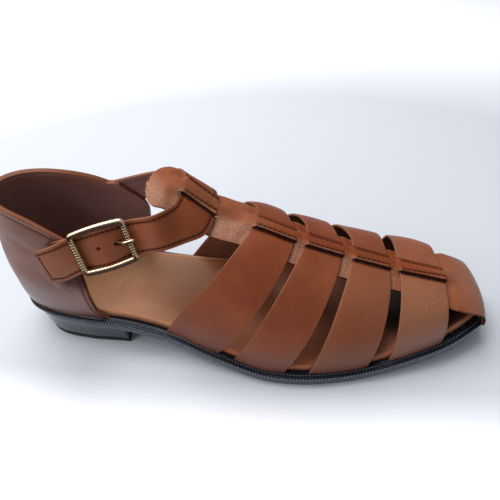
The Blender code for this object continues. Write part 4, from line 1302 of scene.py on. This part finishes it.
class SANDAL_OT_centre_strap(bpy.types.Operator):
    """Build the centre strap with a pair of slits at every crossing, and its stitch rows"""
    bl_idname = "sandal.centre_strap"
    bl_label = "Centre strap"

    def execute(self, context):
        sizes = context.scene.sandal_sizes
        thick = sizes.strap_leather / MM
        shares = np.linspace(-1.0, 1.0, STRAP_COLS)
        low, stations = centre_sheet(shares)
        normals = grid_normals(low, UPWARD)
        offset = low[..., 1] - ridge_side(low[..., 0])
        inside = under_bands(low[..., 0], low[..., 1])
        middle = inside[:, STRAP_COLS // 2][:, None]
        opened = ramp(middle, -SLIT_PAST, SLIT_OPEN)
        strip_level = STRIP_RAISE * ramp(middle, -STRIP_RUN, STRIP_RUN)
        wing_level = -WING_DIP * ramp(inside, -WING_LEAD, WING_RUN)
        join = ramp(np.abs(offset), *STRIP_JOIN)
        crown = STRIP_CROWN * opened * (1 - np.clip(offset / STRIP_HALF, -1, 1) ** 2)
        rise_strip = wing_level + (strip_level - wing_level) * (1 - (1 - opened) * (1 - join)) + crown
        rise_wing = wing_level + (strip_level - wing_level) * (1 - opened) * join
        rows = self.stitch_rows(stations)
        seam = np.zeros(offset.shape)
        for where, line in rows:
            seam[where] = np.maximum(seam[where], dip(offset[where] - line[:, None], ROW_FURROW))
        strip_top = low + normals * (thick + rise_strip - sizes.seam_depth / MM * seam)[..., None]
        wing_top = low + normals * (thick + rise_wing)[..., None]
        left, right = (int(round((1 + k * STRIP_SHARE) * (STRAP_COLS - 1) / 2)) for k in (-1, 1))
        cols = np.arange(STRAP_COLS)
        # Painted shade along the edges of the toe opening, and painted shadow at the slits
        toe_edge = 0.75 * (stations >= LENGTH)[:, None] * (np.abs(shares) > TOE_EDGE)
        marks = self.looks(low, stations, shares, offset)
        marks["seam"] = seam * ((cols >= left) & (cols <= right))
        marks["slit"] = np.maximum(opened * ((cols == left) | (cols == right)), toe_edge)
        bm = new_grid(wing_top, marks)
        row_of, col_of = bm.verts.layers.int["row"], bm.verts.layers.int["col"]
        slits = [e for e in bm.edges if e.verts[0][col_of] == e.verts[1][col_of]
                 and e.verts[0][col_of] in (left, right) and max(opened[v[row_of], 0] for v in e.verts) > 0]
        bmesh.ops.split_edges(bm, edges=slits)
        spots = place(strip_top)
        for v in {v for f in bm.faces for v in f.verts if left < sum(c[col_of] for c in f.verts) / 4 < right}:
            v.co = spots[v[row_of], v[col_of]]
        finishes = ("strap_leather", "flesh_side", "slit_edge")
        new_leather("centre_strap", bm, UPWARD, finishes, sizes.strap_leather, sizes.edge_round)
        self.stitches(sizes, stations, rows, offset, strip_top, normals[:, STRAP_COLS // 2])
        return {"FINISHED"}

    def looks(self, low, stations, shares, offset):
        """Where the strap's leather is rubbed, open-grained with a painted sheen, lit with painted light, and
        polished with a painted sheen.
        """
        beside = np.interp(shares, PALE_SHARES, (1.0, 0.0)) * ramp(stations, *PALE_END)[:, None]
        tab = ramp(stations, *TAB_PALE)[:, None]
        across = -PATCH_SLOPE[0] * offset - PATCH_SLOPE[1] * (low[..., 0] - PATCH_STATION)
        patch = ramp(across, *PATCH_EDGE)
        faded = PAINTED_LIGHT_SHARES[0] * ramp(stations, *PAINTED_LIGHT_TOE) + PAINTED_LIGHT_SHARES[1] * ramp(stations, *PAINTED_LIGHT_INSTEP)
        faded = faded[:, None] * (1 - 0.5 * tab)
        return {"rim": np.clip(1 - border_distance(low) / STRAP_RIM, 0, 1),
                "pale": beside * (1 - tab) + patch * tab,
                "faded": np.broadcast_to(faded, offset.shape),
                "polish": 0.9 * ramp(low[..., 0], *TOE_POLISH_SHEEN)}

    def stitch_rows(self, stations):
        """Rows of the strip's stitches: which stations they run over, and their side offsets."""
        rows = []
        for (rear, front), insets in zip(crossings(), ROW_LATERAL):
            where = (stations > rear + ROW_REAR) & (stations < front + ROW_FRONT)
            share = (stations[where] - rear) / (front - rear)
            rows.append((where, insets[0] + (insets[1] - insets[0]) * share - STRIP_HALF))
            rows.append((where, STRIP_HALF + strip_widening(stations[where]) - ROW_MEDIAL))
        return rows

    def stitches(self, sizes, stations, rows, offset, top, normals):
        """Sew the rows along the strip, and a short row across the front of each crossing."""
        bm = bmesh.new()
        thread = thread_size(sizes)
        for where, line in rows:
            picked = np.nonzero(where)[0]
            path = [along_row(spot, offset[i], top[i]) for i, spot in zip(picked, line)]
            sew(bm, np.array(path), normals[picked], thread, sizes.stitch_pitch / MM)
        for (_, front), insets in zip(crossings(), ROW_LATERAL):
            i = int(np.argmin(np.abs(stations - front)))
            spots = np.linspace(insets[1] - STRIP_HALF, -STRIP_HALF, 8)
            path = [along_row(spot, offset[i], top[i]) for spot in spots]
            lean = np.tile(normals[i], (len(path), 1))
            sew(bm, np.array(path), lean, (CROSS_STITCH, thread[1], thread[2]), CROSS_PITCH)
        new_piece("centre_stitches", bm, ["thread"])


def band_sheet(band, rows, cols):
    """Inner face of one cross band, swept back from the ridge down to both sides of the sole."""
    row = dict(zip(BAND_COLUMNS, band))
    turn = np.linspace(0.0, 1.0, rows)
    ends = []
    for edge in ("rear", "front"):
        top = row[edge + "_top"]
        foot = np.where(turn < 0.5, row[edge + "_lateral"], row[edge + "_medial"])
        straight = np.where(turn < 0.5, 0.0, MEDIAL_STRAIGHT if edge == "rear" else 0.0)
        reach = np.maximum(np.abs(1 - 2 * turn) - straight, 0.0) / (1 - straight)
        ends.append(top + (foot - top) * reach ** row[edge + "_sweep"])
    shares = np.linspace(0.0, 1.0, cols)
    stations = ends[0][:, None] * (1 - shares) + ends[1][:, None] * shares
    return last_girth(stations, np.broadcast_to(turn[:, None], stations.shape))


# Cross bands: grid, level over the last and the strap, crown, slow wave, and sink at the sole
BAND_ROWS = 241
BAND_COLS = 33
BAND_LEVEL = 0.1
BAND_OVER = 0.4
OVER_RUN = (31.0, -15.0)
BAND_FREE = (STRIP_HALF + 0.5, 6.0)
BAND_CROWN = 0.3
BAND_WAVE = 0.16
WAVE_ACROSS = 0.17
WAVE_ALONG = 0.11
WAVE_SHIFT = 2.1
BAND_SINK = 0.7
SINK_RUN = (3.0, -3.0)

# Looks of the bands: painted shadow beside the strip, rubbed edges, polish with a painted sheen near the sole, and
# painted light
SHADE_GAP = 1.0
BAND_SHADE = 0.9
BAND_RIM = 1.3
BAND_POLISH_SHEEN = (26.0, -26.0)
PAINTED_LIGHT_SIDE = -22.0
PAINTED_LIGHT_WIDTH = 17.0
BAND_PAINTED_LIGHT = ((0.0, 0.0), (0.0, 0.12), (0.12, 0.32), (0.3, 0.5))
# The inner sides of bands 2 to 4 take the flesh side's painted shade
BAND_FINISHES = (("band_leather", "flesh_side"), ("band_leather", "flesh_dark"), ("band_leather", "flesh_dark"),
                 ("front_leather", "flesh_dark"))


def strip_shade(offset):
    """Painted shadow on a leather where the strip lies over it."""
    return dip(np.maximum(np.abs(offset) - STRIP_HALF - SHADE_GAP, 0.0), BAND_SHADE)


class SANDAL_OT_bands(bpy.types.Operator):
    """Build the four cross bands over the centre strap's wings"""
    bl_idname = "sandal.bands"
    bl_label = "Cross bands"

    def execute(self, context):
        sizes = context.scene.sandal_sizes
        shares = np.linspace(-1.0, 1.0, BAND_COLS)
        for i, band in enumerate(BANDS):
            grid = band_sheet(band, BAND_ROWS, BAND_COLS)
            normals = grid_normals(grid, UPWARD)
            offset = grid[..., 1] - ridge_side(grid[..., 0])
            wave = BAND_WAVE * np.sin(grid[..., 1] * WAVE_ACROSS + WAVE_SHIFT * i)
            wave = wave * np.sin(grid[..., 0] * WAVE_ALONG + i)
            level = sizes.leather / MM + BAND_LEVEL + BAND_OVER * ramp(np.abs(offset), *OVER_RUN)
            level = level + (BAND_CROWN * (1 - shares ** 2) + wave) * ramp(np.abs(offset), *BAND_FREE)
            grid = grid + normals * level[..., None]
            grid[..., 2] -= BAND_SINK * ramp(grid[..., 2] - welt_top(grid[..., 0]), *SINK_RUN)
            even, lateral = BAND_PAINTED_LIGHT[i]
            marks = {"rim": np.clip(1 - np.minimum(*border_runs(grid, 1)) / BAND_RIM, 0, 1),
                     "slit": strip_shade(offset), "faded": even + lateral * dip(offset - PAINTED_LIGHT_SIDE, PAINTED_LIGHT_WIDTH),
                     "polish": ramp(grid[..., 2] - welt_top(grid[..., 0]), *BAND_POLISH_SHEEN)}
            new_leather("cross_band_%d" % (i + 1), new_grid(grid, marks), UPWARD, BAND_FINISHES[i] + ("cut_edge",),
                        sizes.leather, sizes.edge_round)
        return {"FINISHED"}


class Buckle:
    """Axes of the buckle: run along the strap to its tip, rise across it, out from the foot."""
    centre = np.array(BUCKLE_CENTRE)
    run = np.array(BUCKLE_RUN) / np.linalg.norm(BUCKLE_RUN)
    rise = np.array(BUCKLE_RISE) - run * np.dot(BUCKLE_RISE, run)
    rise = rise / np.linalg.norm(rise)
    out = np.cross(run, rise)
    out = out * math.copysign(1.0, -out[1])

    @classmethod
    def at(cls, run, rise, out):
        return cls.centre + cls.run * run + cls.rise * rise + cls.out * out


def weave(run):
    """Level of the strap's middle through the buckle: over the centre bar, under the end bars."""
    return WEAVE_RISE - (WEAVE_RISE + WEAVE_DIP) * ease(abs(run) / (BUCKLE_LENGTH / 2 - ROD))


# Ankle strap: steps between its sections, columns, and how far each stretch lies off the layer below
ANKLE_STEPS = 12
ANKLE_COLS = 33
CROWN_RUN = 14.0
LATERAL_LIFT = (0.33571, 0.35714)
CROSSING_LIFT = 0.35
MEDIAL_LIFT = 0.5
SEWN_LIFT = 0.95
SEWN_GAP = 0.1
CROSSING_LEAN = (0.62, 0.02, 0.78)


def crossing_spot(station, side):
    """Point of the ankle strap's edge where it crosses the centre strap."""
    offset = side - ridge_side(station)
    spot = centre_point(station - CROSSING_BEND * offset ** 2, offset)
    lean = np.array([CROSSING_LEAN[0], CROSSING_LEAN[1] * offset, CROSSING_LEAN[2]])
    return spot + CROSSING_LEVEL * lean / np.linalg.norm(lean)


def ankle_sheet(cols):
    """Middle face of the ankle strap from its tip through the buckle and over the instep, and its lift."""
    upper, lower, lift = [], [], []

    def section(high, low, rise):
        upper.append(high)
        lower.append(low)
        lift.append(rise)

    for row in STRAP_TIP:
        section(row[:3], row[3:], 0.0)
    for run in BUCKLE_RUNS:
        crown = UPPER_CROWN * (1 - ease(abs(run) / CROWN_RUN))
        section(Buckle.at(run, STRAP_SHIFT + STRAP_HALF + crown, weave(run)),
                Buckle.at(run, STRAP_SHIFT - STRAP_HALF, weave(run)), 0.0)
    for row, rise in zip(STRAP_LATERAL, LATERAL_LIFT):
        section(row[:3], row[3:], rise)
    for upper_side, lower_side in CROSSING:
        section(crossing_spot(CROSSING_UPPER, upper_side), crossing_spot(CROSSING_LOWER, lower_side), CROSSING_LIFT)
    for row in STRAP_MEDIAL:
        section(row[:3], row[3:], MEDIAL_LIFT)
    for station in STRAP_SEWN:
        drop = SEWN_SLOPE * (STRAP_SEWN[0] - station)
        high, low = ((station, counter_side(station, height) + SEWN_GAP, height)
                     for height in (SEWN_UPPER - drop, SEWN_LOWER - drop))
        section(high, low, SEWN_LIFT)
    lift = np.interp(np.arange((len(upper) - 1) * ANKLE_STEPS + 1) / ANKLE_STEPS, np.arange(len(lift)), lift)
    upper, lower = spline(upper, ANKLE_STEPS), spline(lower, ANKLE_STEPS)
    shares = np.linspace(0.0, 1.0, cols)[None, :, None]
    return lower[:, None] * (1 - shares) + upper[:, None] * shares, lift


def punch(bm, centre, axis, half_run, half_rise):
    """Hole through a sheet, its border drawn onto an oval."""
    spot = Vector(place(centre))
    run, rise, axis = Vector(Buckle.run), Vector(Buckle.rise), Vector(axis)
    half_run, half_rise = half_run * MM, half_rise * MM

    def reach(point):
        gap = point - spot
        return math.hypot(gap.dot(run) / half_run, gap.dot(rise) / half_rise)

    inside = [f for f in bm.faces if reach(f.calc_center_median()) < 1.0
              and abs((f.calc_center_median() - spot).dot(axis)) < 4 * MM]
    border = {v for f in inside for v in f.verts}
    bmesh.ops.delete(bm, geom=inside, context="FACES")
    for v in border:
        if v.is_valid:
            gap = v.co - spot
            scale = 1.0 / reach(v.co)
            v.co = (spot + run * gap.dot(run) * scale + rise * gap.dot(rise) * scale
                    + axis * gap.dot(axis))


# Holes of the strap: place along the buckle and across it, and half sizes of the hole
HOLES = ((2.1, 0.8, 1.15, 1.15), (-8.2, 0.0, 2.6, 1.5))

# Looks and shape of the ankle strap: outward side, crown, furrow, free row ends, painted shadow beside the strip
# and painted light on its lateral side
ANKLE_OUT = (0.6, 0.0, 0.8)
ANKLE_CROWN = 0.25
ANKLE_FURROW = 0.65
ANKLE_ENDS = 3.0
ANKLE_RIM = 1.4
ANKLE_SHADE = 108.0
ANKLE_PAINTED_LIGHT = (106.0, -10.0)
PAINTED_LIGHT_SHARE = 0.18


class SANDAL_OT_ankle_strap(bpy.types.Operator):
    """Build the ankle strap with its pin holes and stitched edges"""
    bl_idname = "sandal.ankle_strap"
    bl_label = "Ankle strap"

    def execute(self, context):
        sizes = context.scene.sandal_sizes
        thick, inset = sizes.ankle_leather / MM, sizes.seam_inset / MM
        shares = np.linspace(-1.0, 1.0, ANKLE_COLS)
        middle, lift = ankle_sheet(ANKLE_COLS)
        normals = grid_normals(middle, ANKLE_OUT)
        grid = middle + normals * (thick / 2 + lift)[:, None, None]
        grid = grid + normals * (ANKLE_CROWN * (1 - shares ** 2))[None, :, None]
        edges, ends = np.minimum(*border_runs(grid, 1)), np.minimum(*border_runs(grid, 0))
        seam = np.maximum(dip(edges - inset, ANKLE_FURROW), dip(ends - inset, ANKLE_FURROW))
        station, side = grid[..., 0], grid[..., 1]
        marks = {"rim": np.clip(1 - border_distance(grid) / ANKLE_RIM, 0, 1), "seam": seam,
                 "slit": strip_shade(side - ridge_side(station)) * (station > ANKLE_SHADE),
                 "faded": PAINTED_LIGHT_SHARE * ramp(station, *ANKLE_PAINTED_LIGHT) * (side < 0)}
        grid = grid - normals * (sizes.seam_depth / MM * seam)[..., None]
        bm = new_grid(grid, marks)
        for run, rise, half_run, half_rise in HOLES:
            punch(bm, Buckle.at(run, rise, weave(run)), Buckle.out, half_run, half_rise)
        finishes = ("band_leather", "counter_lining", "cut_edge")
        new_leather("ankle_strap", bm, ANKLE_OUT, finishes, sizes.ankle_leather, sizes.edge_round)
        bm = bmesh.new()
        turned, tilted = grid.transpose(1, 0, 2), normals.transpose(1, 0, 2)
        for sheet, leans, free in ((grid, normals, inset), (turned, tilted, ANKLE_ENDS)):
            for far in (False, True):
                path, lean = track(sheet, leans, inset, far=far)
                sew(bm, path, lean, thread_size(sizes), sizes.stitch_pitch / MM, free, free)
        new_piece("ankle_stitches", bm, ["thread"])
        return {"FINISHED"}


# Buckle frame: steps round a corner and along a bar, bow of the long bars, and beads of the end bars
CORNER_STEPS = 7
FRAME_STEP = 0.22
FRAME_SIDES = 24
FRAME_SQUARE = 2.5
LONG_BAR = (-1.4, 1.2)
BAR_BOW = 0.9
BAR_BOW_OUT = 0.3
BEAD_FROM = (-1.6, -0.8)
BEAD_PITCH = 1.45
BEAD_DEPTH = 0.2

# Pin: sides, turn of its hook round the centre bar, and its way over the end bar with the drop at each point
PIN_SIDES = 12
HOOK_TURN = (-120.0, 150.0)
HOOK_STEPS = 13
PIN_RISE = ((-4.4, -2.0), (-6.6, -1.3), (-9.0, 0.8))
PIN_OVER = ((-11.2, 0.3), (-14.0, 0.0), (-15.6, 0.3), (-16.2, 0.7))
PIN_GAP = 0.1
PIN_POINT = 0.55
PIN_POINT_STEPS = 6

# Painted shade on the metal's under sides: how much of it lies against the strap's run, and the turn over which it
# fades
SHADE_LEAN = 0.8
SHADE_FADE = (0.02, 0.42)

# Leather tab: run back along the counter, turn round the centre bar, columns, and notch for the pin
TAB_RUN = (9.0, 5.0)
TAB_TURN = (-90.0, -315.0)
TAB_TURN_STEPS = 14
TAB_STEPS = 5
TAB_COLS = 23
TAB_RIM = 1.2
TAB_LEVEL = 0.75
TAB_EDGE = 0.7
NOTCH_RUN = (-6.0, 4.0)


def frame_path():
    """Rounded rectangle of the buckle's frame with bowed long bars, and the rod's radius along it."""
    half_run, half_rise = BUCKLE_LENGTH / 2 - ROD, BUCKLE_WIDTH / 2 - ROD
    corners = []
    for sign_run, sign_rise, turn in ((1, 1, 0.0), (-1, 1, 0.5), (-1, -1, 1.0), (1, -1, 1.5)):
        for angle in np.linspace(turn, turn + 0.5, CORNER_STEPS) * math.pi:
            corners.append((sign_run * (half_run - BUCKLE_CORNER) + BUCKLE_CORNER * math.cos(angle),
                            sign_rise * (half_rise - BUCKLE_CORNER) + BUCKLE_CORNER * math.sin(angle)))
    corners = np.array(corners)
    outline = []
    for here, there in zip(corners, np.roll(corners, -1, axis=0)):
        steps = max(int(np.linalg.norm(there - here) / FRAME_STEP), 1)
        outline += [here * (1 - t) + there * t for t in np.arange(steps) / steps]
    points, radii = [], []
    for run, rise in outline:
        past = abs(rise) - half_rise
        long_bar = ramp(past, *LONG_BAR)
        bead = (1 - long_bar) * ramp(past, *BEAD_FROM)
        radii.append(ROD * (1.0 - BEAD_DEPTH * bead * (0.5 + 0.5 * math.cos(2 * math.pi * rise / BEAD_PITCH))))
        bow = (1 - (run / half_run) ** 2) * long_bar
        points.append(Buckle.at(run, rise + math.copysign(BAR_BOW * bow, rise), BAR_BOW_OUT * bow))
    return points, radii


class SANDAL_OT_buckle(bpy.types.Operator):
    """Build the buckle's frame, its pin and the leather tab that holds it"""
    bl_idname = "sandal.buckle"
    bl_label = "Buckle"

    def execute(self, context):
        bm = bmesh.new()
        points, radii = frame_path()
        rod(bm, points, radii, FRAME_SIDES, closed=True, square=FRAME_SQUARE, side=Buckle.out)
        half = BUCKLE_WIDTH / 2 - ROD
        profile = [(-half, 0.0), (-half + 0.3, -BAR_DROP * 0.75), (-half + 1.6, -BAR_DROP)]
        profile += [(-rise, out) for rise, out in reversed(profile)]
        rod(bm, spline([Buckle.at(0.0, rise, out) for rise, out in profile], 6), BAR, PIN_SIDES)
        self.paint_shade(bm)
        new_piece("buckle_frame_dressed", bm, ["buckle_gilt"], "buckle_frame")
        self.pin()
        self.tab(context.scene.sandal_sizes)
        return {"FINISHED"}

    def pin(self):
        """Hook the pin round the centre bar and lay it over the end bar."""
        hook, over = BAR + CLEARANCE + PIN, ROD + PIN_GAP + PIN
        path = []
        for angle in np.radians(np.linspace(*HOOK_TURN, HOOK_STEPS)):
            path.append(Buckle.at(hook * math.cos(angle), 0.0, -BAR_DROP + hook * math.sin(angle)))
        path += [Buckle.at(run, 0.0, out) for run, out in PIN_RISE]
        path += [Buckle.at(run, 0.0, over - drop) for run, drop in PIN_OVER]
        path = spline(path, 4)
        last = len(path) - 1
        taper = np.interp(np.arange(len(path)), (0, last - PIN_POINT_STEPS, last), (PIN, PIN, PIN_POINT * PIN))
        bm = bmesh.new()
        rod(bm, path, taper, PIN_SIDES)
        self.paint_shade(bm)
        new_piece("buckle_pin_dressed", bm, ["buckle_gilt"], "buckle_pin")

    def paint_shade(self, bm):
        """Mark the sides of the metal that look down or back along the strap, for painted shade."""
        bmesh.ops.recalc_face_normals(bm, faces=bm.faces)
        bm.normal_update()
        layer = bm.verts.layers.float.new("under")
        up = Vector(Buckle.rise - SHADE_LEAN * Buckle.run).normalized()
        for v in bm.verts:
            v[layer] = 1.0 - float(ramp(v.normal.dot(up), *SHADE_FADE))

    def tab(self, sizes):
        """Fold the tab round the centre bar and lay its end on the counter."""
        lower, upper = [], []
        for station in TAB_STATIONS:
            middle = TAB_HEIGHT - TAB_SLOPE * (TAB_STATIONS[-1] - station)
            for edge, height in ((lower, middle - TAB_HALF), (upper, middle + TAB_HALF)):
                edge.append((station, -(counter_side(station, height) + CLEARANCE + TAB_LEVEL * TAB_THICK), height))
        wrap = BAR + CLEARANCE + TAB_THICK / 2
        bends = [(run, -BAR_DROP - wrap) for run in TAB_RUN]
        for angle in np.radians(np.linspace(*TAB_TURN, TAB_TURN_STEPS)):
            bends.append((wrap * math.cos(angle), -BAR_DROP + wrap * math.sin(angle)))
        for run, out in bends:
            lower.append(Buckle.at(run, -TAB_HALF, out))
            upper.append(Buckle.at(run, TAB_HALF, out))
        lower, upper = spline(lower, TAB_STEPS), spline(upper, TAB_STEPS)
        shares = np.linspace(0.0, 1.0, TAB_COLS)[None, :, None]
        grid = lower[:, None] * (1 - shares) + upper[:, None] * shares
        grid = grid + grid_normals(grid, Buckle.out) * TAB_THICK / 2
        bm = new_grid(grid, {"rim": np.clip(1 - border_distance(grid) / TAB_RIM, 0, 1)})
        centre, run, rise = Vector(place(Buckle.centre)), Vector(Buckle.run), Vector(Buckle.rise)
        notch = []
        for face in bm.faces:
            gap = (face.calc_center_median() - centre) / MM
            if NOTCH_RUN[0] < gap.dot(run) < NOTCH_RUN[1] and abs(gap.dot(rise)) < TAB_NOTCH:
                notch.append(face)
        bmesh.ops.delete(bm, geom=notch, context="FACES")
        finishes = ("band_leather", "flesh_side", "cut_edge")
        new_leather("buckle_tab_dressed", bm, Buckle.out, finishes, TAB_THICK * MM, TAB_EDGE * sizes.edge_round, 2,
                    "buckle_tab")


# Reach of the floor's greyer part, a painted shade, to the sides, behind and in front of the shoe
FLOOR_SIDE = 0.44
FLOOR_BACK = 0.36
FLOOR_FRONT = 0.058
FLOOR_FADE = (0.8, 1.9)
FLOOR_HALF = 4.0
SKY = (0.90, 0.94, 1.0, 1.0)
SKY_STRENGTH = 0.3

# Soft lamps: name, place, aim, width and power
LAMPS = (
    ("overhead", (-0.4, 0.4, 1.05), (-0.05, 0.0, 0.03), 1.2, 19.0),
    ("left_window", (-0.9, -0.7, 0.8), (0.0, 0.0, 0.03), 0.8, 4.8),
    ("glint", (-0.37, -0.16, 0.915), (-0.065, -0.027, 0.082), 0.3, 0.9),
)


class SANDAL_OT_stage(bpy.types.Operator):
    """Set the pale floor, the soft light and the photograph's camera"""
    bl_idname = "sandal.stage"
    bl_label = "Stage"

    def execute(self, context):
        scene = context.scene
        scene.view_settings.view_transform = "Standard"
        bm = bmesh.new()
        bmesh.ops.create_grid(bm, x_segments=2, y_segments=2, size=FLOOR_HALF)
        mesh = bpy.data.meshes.new("floor")
        bm.to_mesh(mesh)
        bm.free()
        tree, shader = new_finish("floor_paper", Roughness=0.7, Specular_IOR_Level=0.2)
        axes = add_node(tree, "ShaderNodeSeparateXYZ", {0: object_spots(tree)}).outputs
        away = times(tree, times(tree, axes[0], 1 / FLOOR_SIDE), 2.0, "POWER")
        for sign, reach in ((1.0, FLOOR_BACK), (-1.0, FLOOR_FRONT)):
            run = times(tree, times(tree, axes[1], sign / reach), 0.0, "MAXIMUM")
            away = times(tree, away, times(tree, run, run), "ADD")
        colours = scene.sandal_colours
        # Painted shade: the floor is greyer near the shoe and fades to the far floor's colour
        paper = mix(tree, span(tree, away, *FLOOR_FADE), list(colours.floor), list(colours.floor_far))
        tree.links.new(paper, shader.inputs["Base Color"])
        mesh.materials.append(bpy.data.materials["floor_paper"])
        floor = bpy.data.objects.new("floor", mesh)
        scene.collection.objects.link(floor)
        world = bpy.data.worlds.new("studio")
        scene.world = world
        world.use_nodes = True
        back = world.node_tree.nodes["Background"]
        back.inputs["Color"].default_value = SKY
        back.inputs["Strength"].default_value = SKY_STRENGTH
        for lamp in LAMPS:
            self.lamp(scene, *lamp)
        self.camera(scene)
        return {"FINISHED"}

    def lamp(self, scene, name, spot, target, size, power):
        light = bpy.data.lights.new(name, "AREA")
        light.shape = "DISK"
        light.size = size
        light.energy = power
        lamp = bpy.data.objects.new(name, light)
        lamp.location = spot
        lamp.rotation_euler = (Vector(target) - Vector(spot)).to_track_quat("-Z", "Y").to_euler()
        scene.collection.objects.link(lamp)

    def camera(self, scene):
        data = bpy.data.cameras.new("photo_camera")
        data.sensor_width = CAMERA_SENSOR
        data.lens = CAMERA_LENS
        data.clip_start = 0.01
        camera = bpy.data.objects.new("photo_camera", data)
        axes = Matrix((CAMERA_RIGHT, CAMERA_UP, CAMERA_BACK)).transposed().to_4x4()
        camera.matrix_world = Matrix.Translation(CAMERA_PLACE) @ axes
        scene.collection.objects.link(camera)
        scene.camera = camera


class SANDAL_PT_panel(bpy.types.Panel):
    """Pieces of the sandal with their sizes and colours"""
    bl_idname = "SANDAL_PT_panel"
    bl_label = "Fisherman sandal"
    bl_space_type = "VIEW_3D"
    bl_region_type = "UI"
    bl_category = "Sandal"

    def draw(self, context):
        layout = self.layout
        for group in (context.scene.sandal_sizes, context.scene.sandal_colours):
            box = layout.box()
            for name in group.__annotations__:
                box.prop(group, name)
        for step in STEPS:
            layout.operator(step.bl_idname)


STEPS = (SANDAL_OT_stage, SANDAL_OT_finishes, SANDAL_OT_sole, SANDAL_OT_footbed, SANDAL_OT_counter,
         SANDAL_OT_centre_strap, SANDAL_OT_bands, SANDAL_OT_ankle_strap, SANDAL_OT_buckle)
CLASSES = (SandalSizes, SandalColours) + STEPS + (SANDAL_PT_panel,)


def register():
    for cls in CLASSES:
        bpy.utils.register_class(cls)
    bpy.types.Scene.sandal_sizes = PointerProperty(type=SandalSizes)
    bpy.types.Scene.sandal_colours = PointerProperty(type=SandalColours)


def unregister():
    del bpy.types.Scene.sandal_colours
    del bpy.types.Scene.sandal_sizes
    for cls in reversed(CLASSES):
        bpy.utils.unregister_class(cls)


def main():
    register()
    bpy.ops.sandal.stage()
    bpy.ops.sandal.finishes()
    bpy.ops.sandal.sole()
    bpy.ops.sandal.footbed()
    bpy.ops.sandal.counter()
    bpy.ops.sandal.centre_strap()
    bpy.ops.sandal.bands()
    bpy.ops.sandal.ankle_strap()
    bpy.ops.sandal.buckle()


if __name__ == "__main__":
    main()
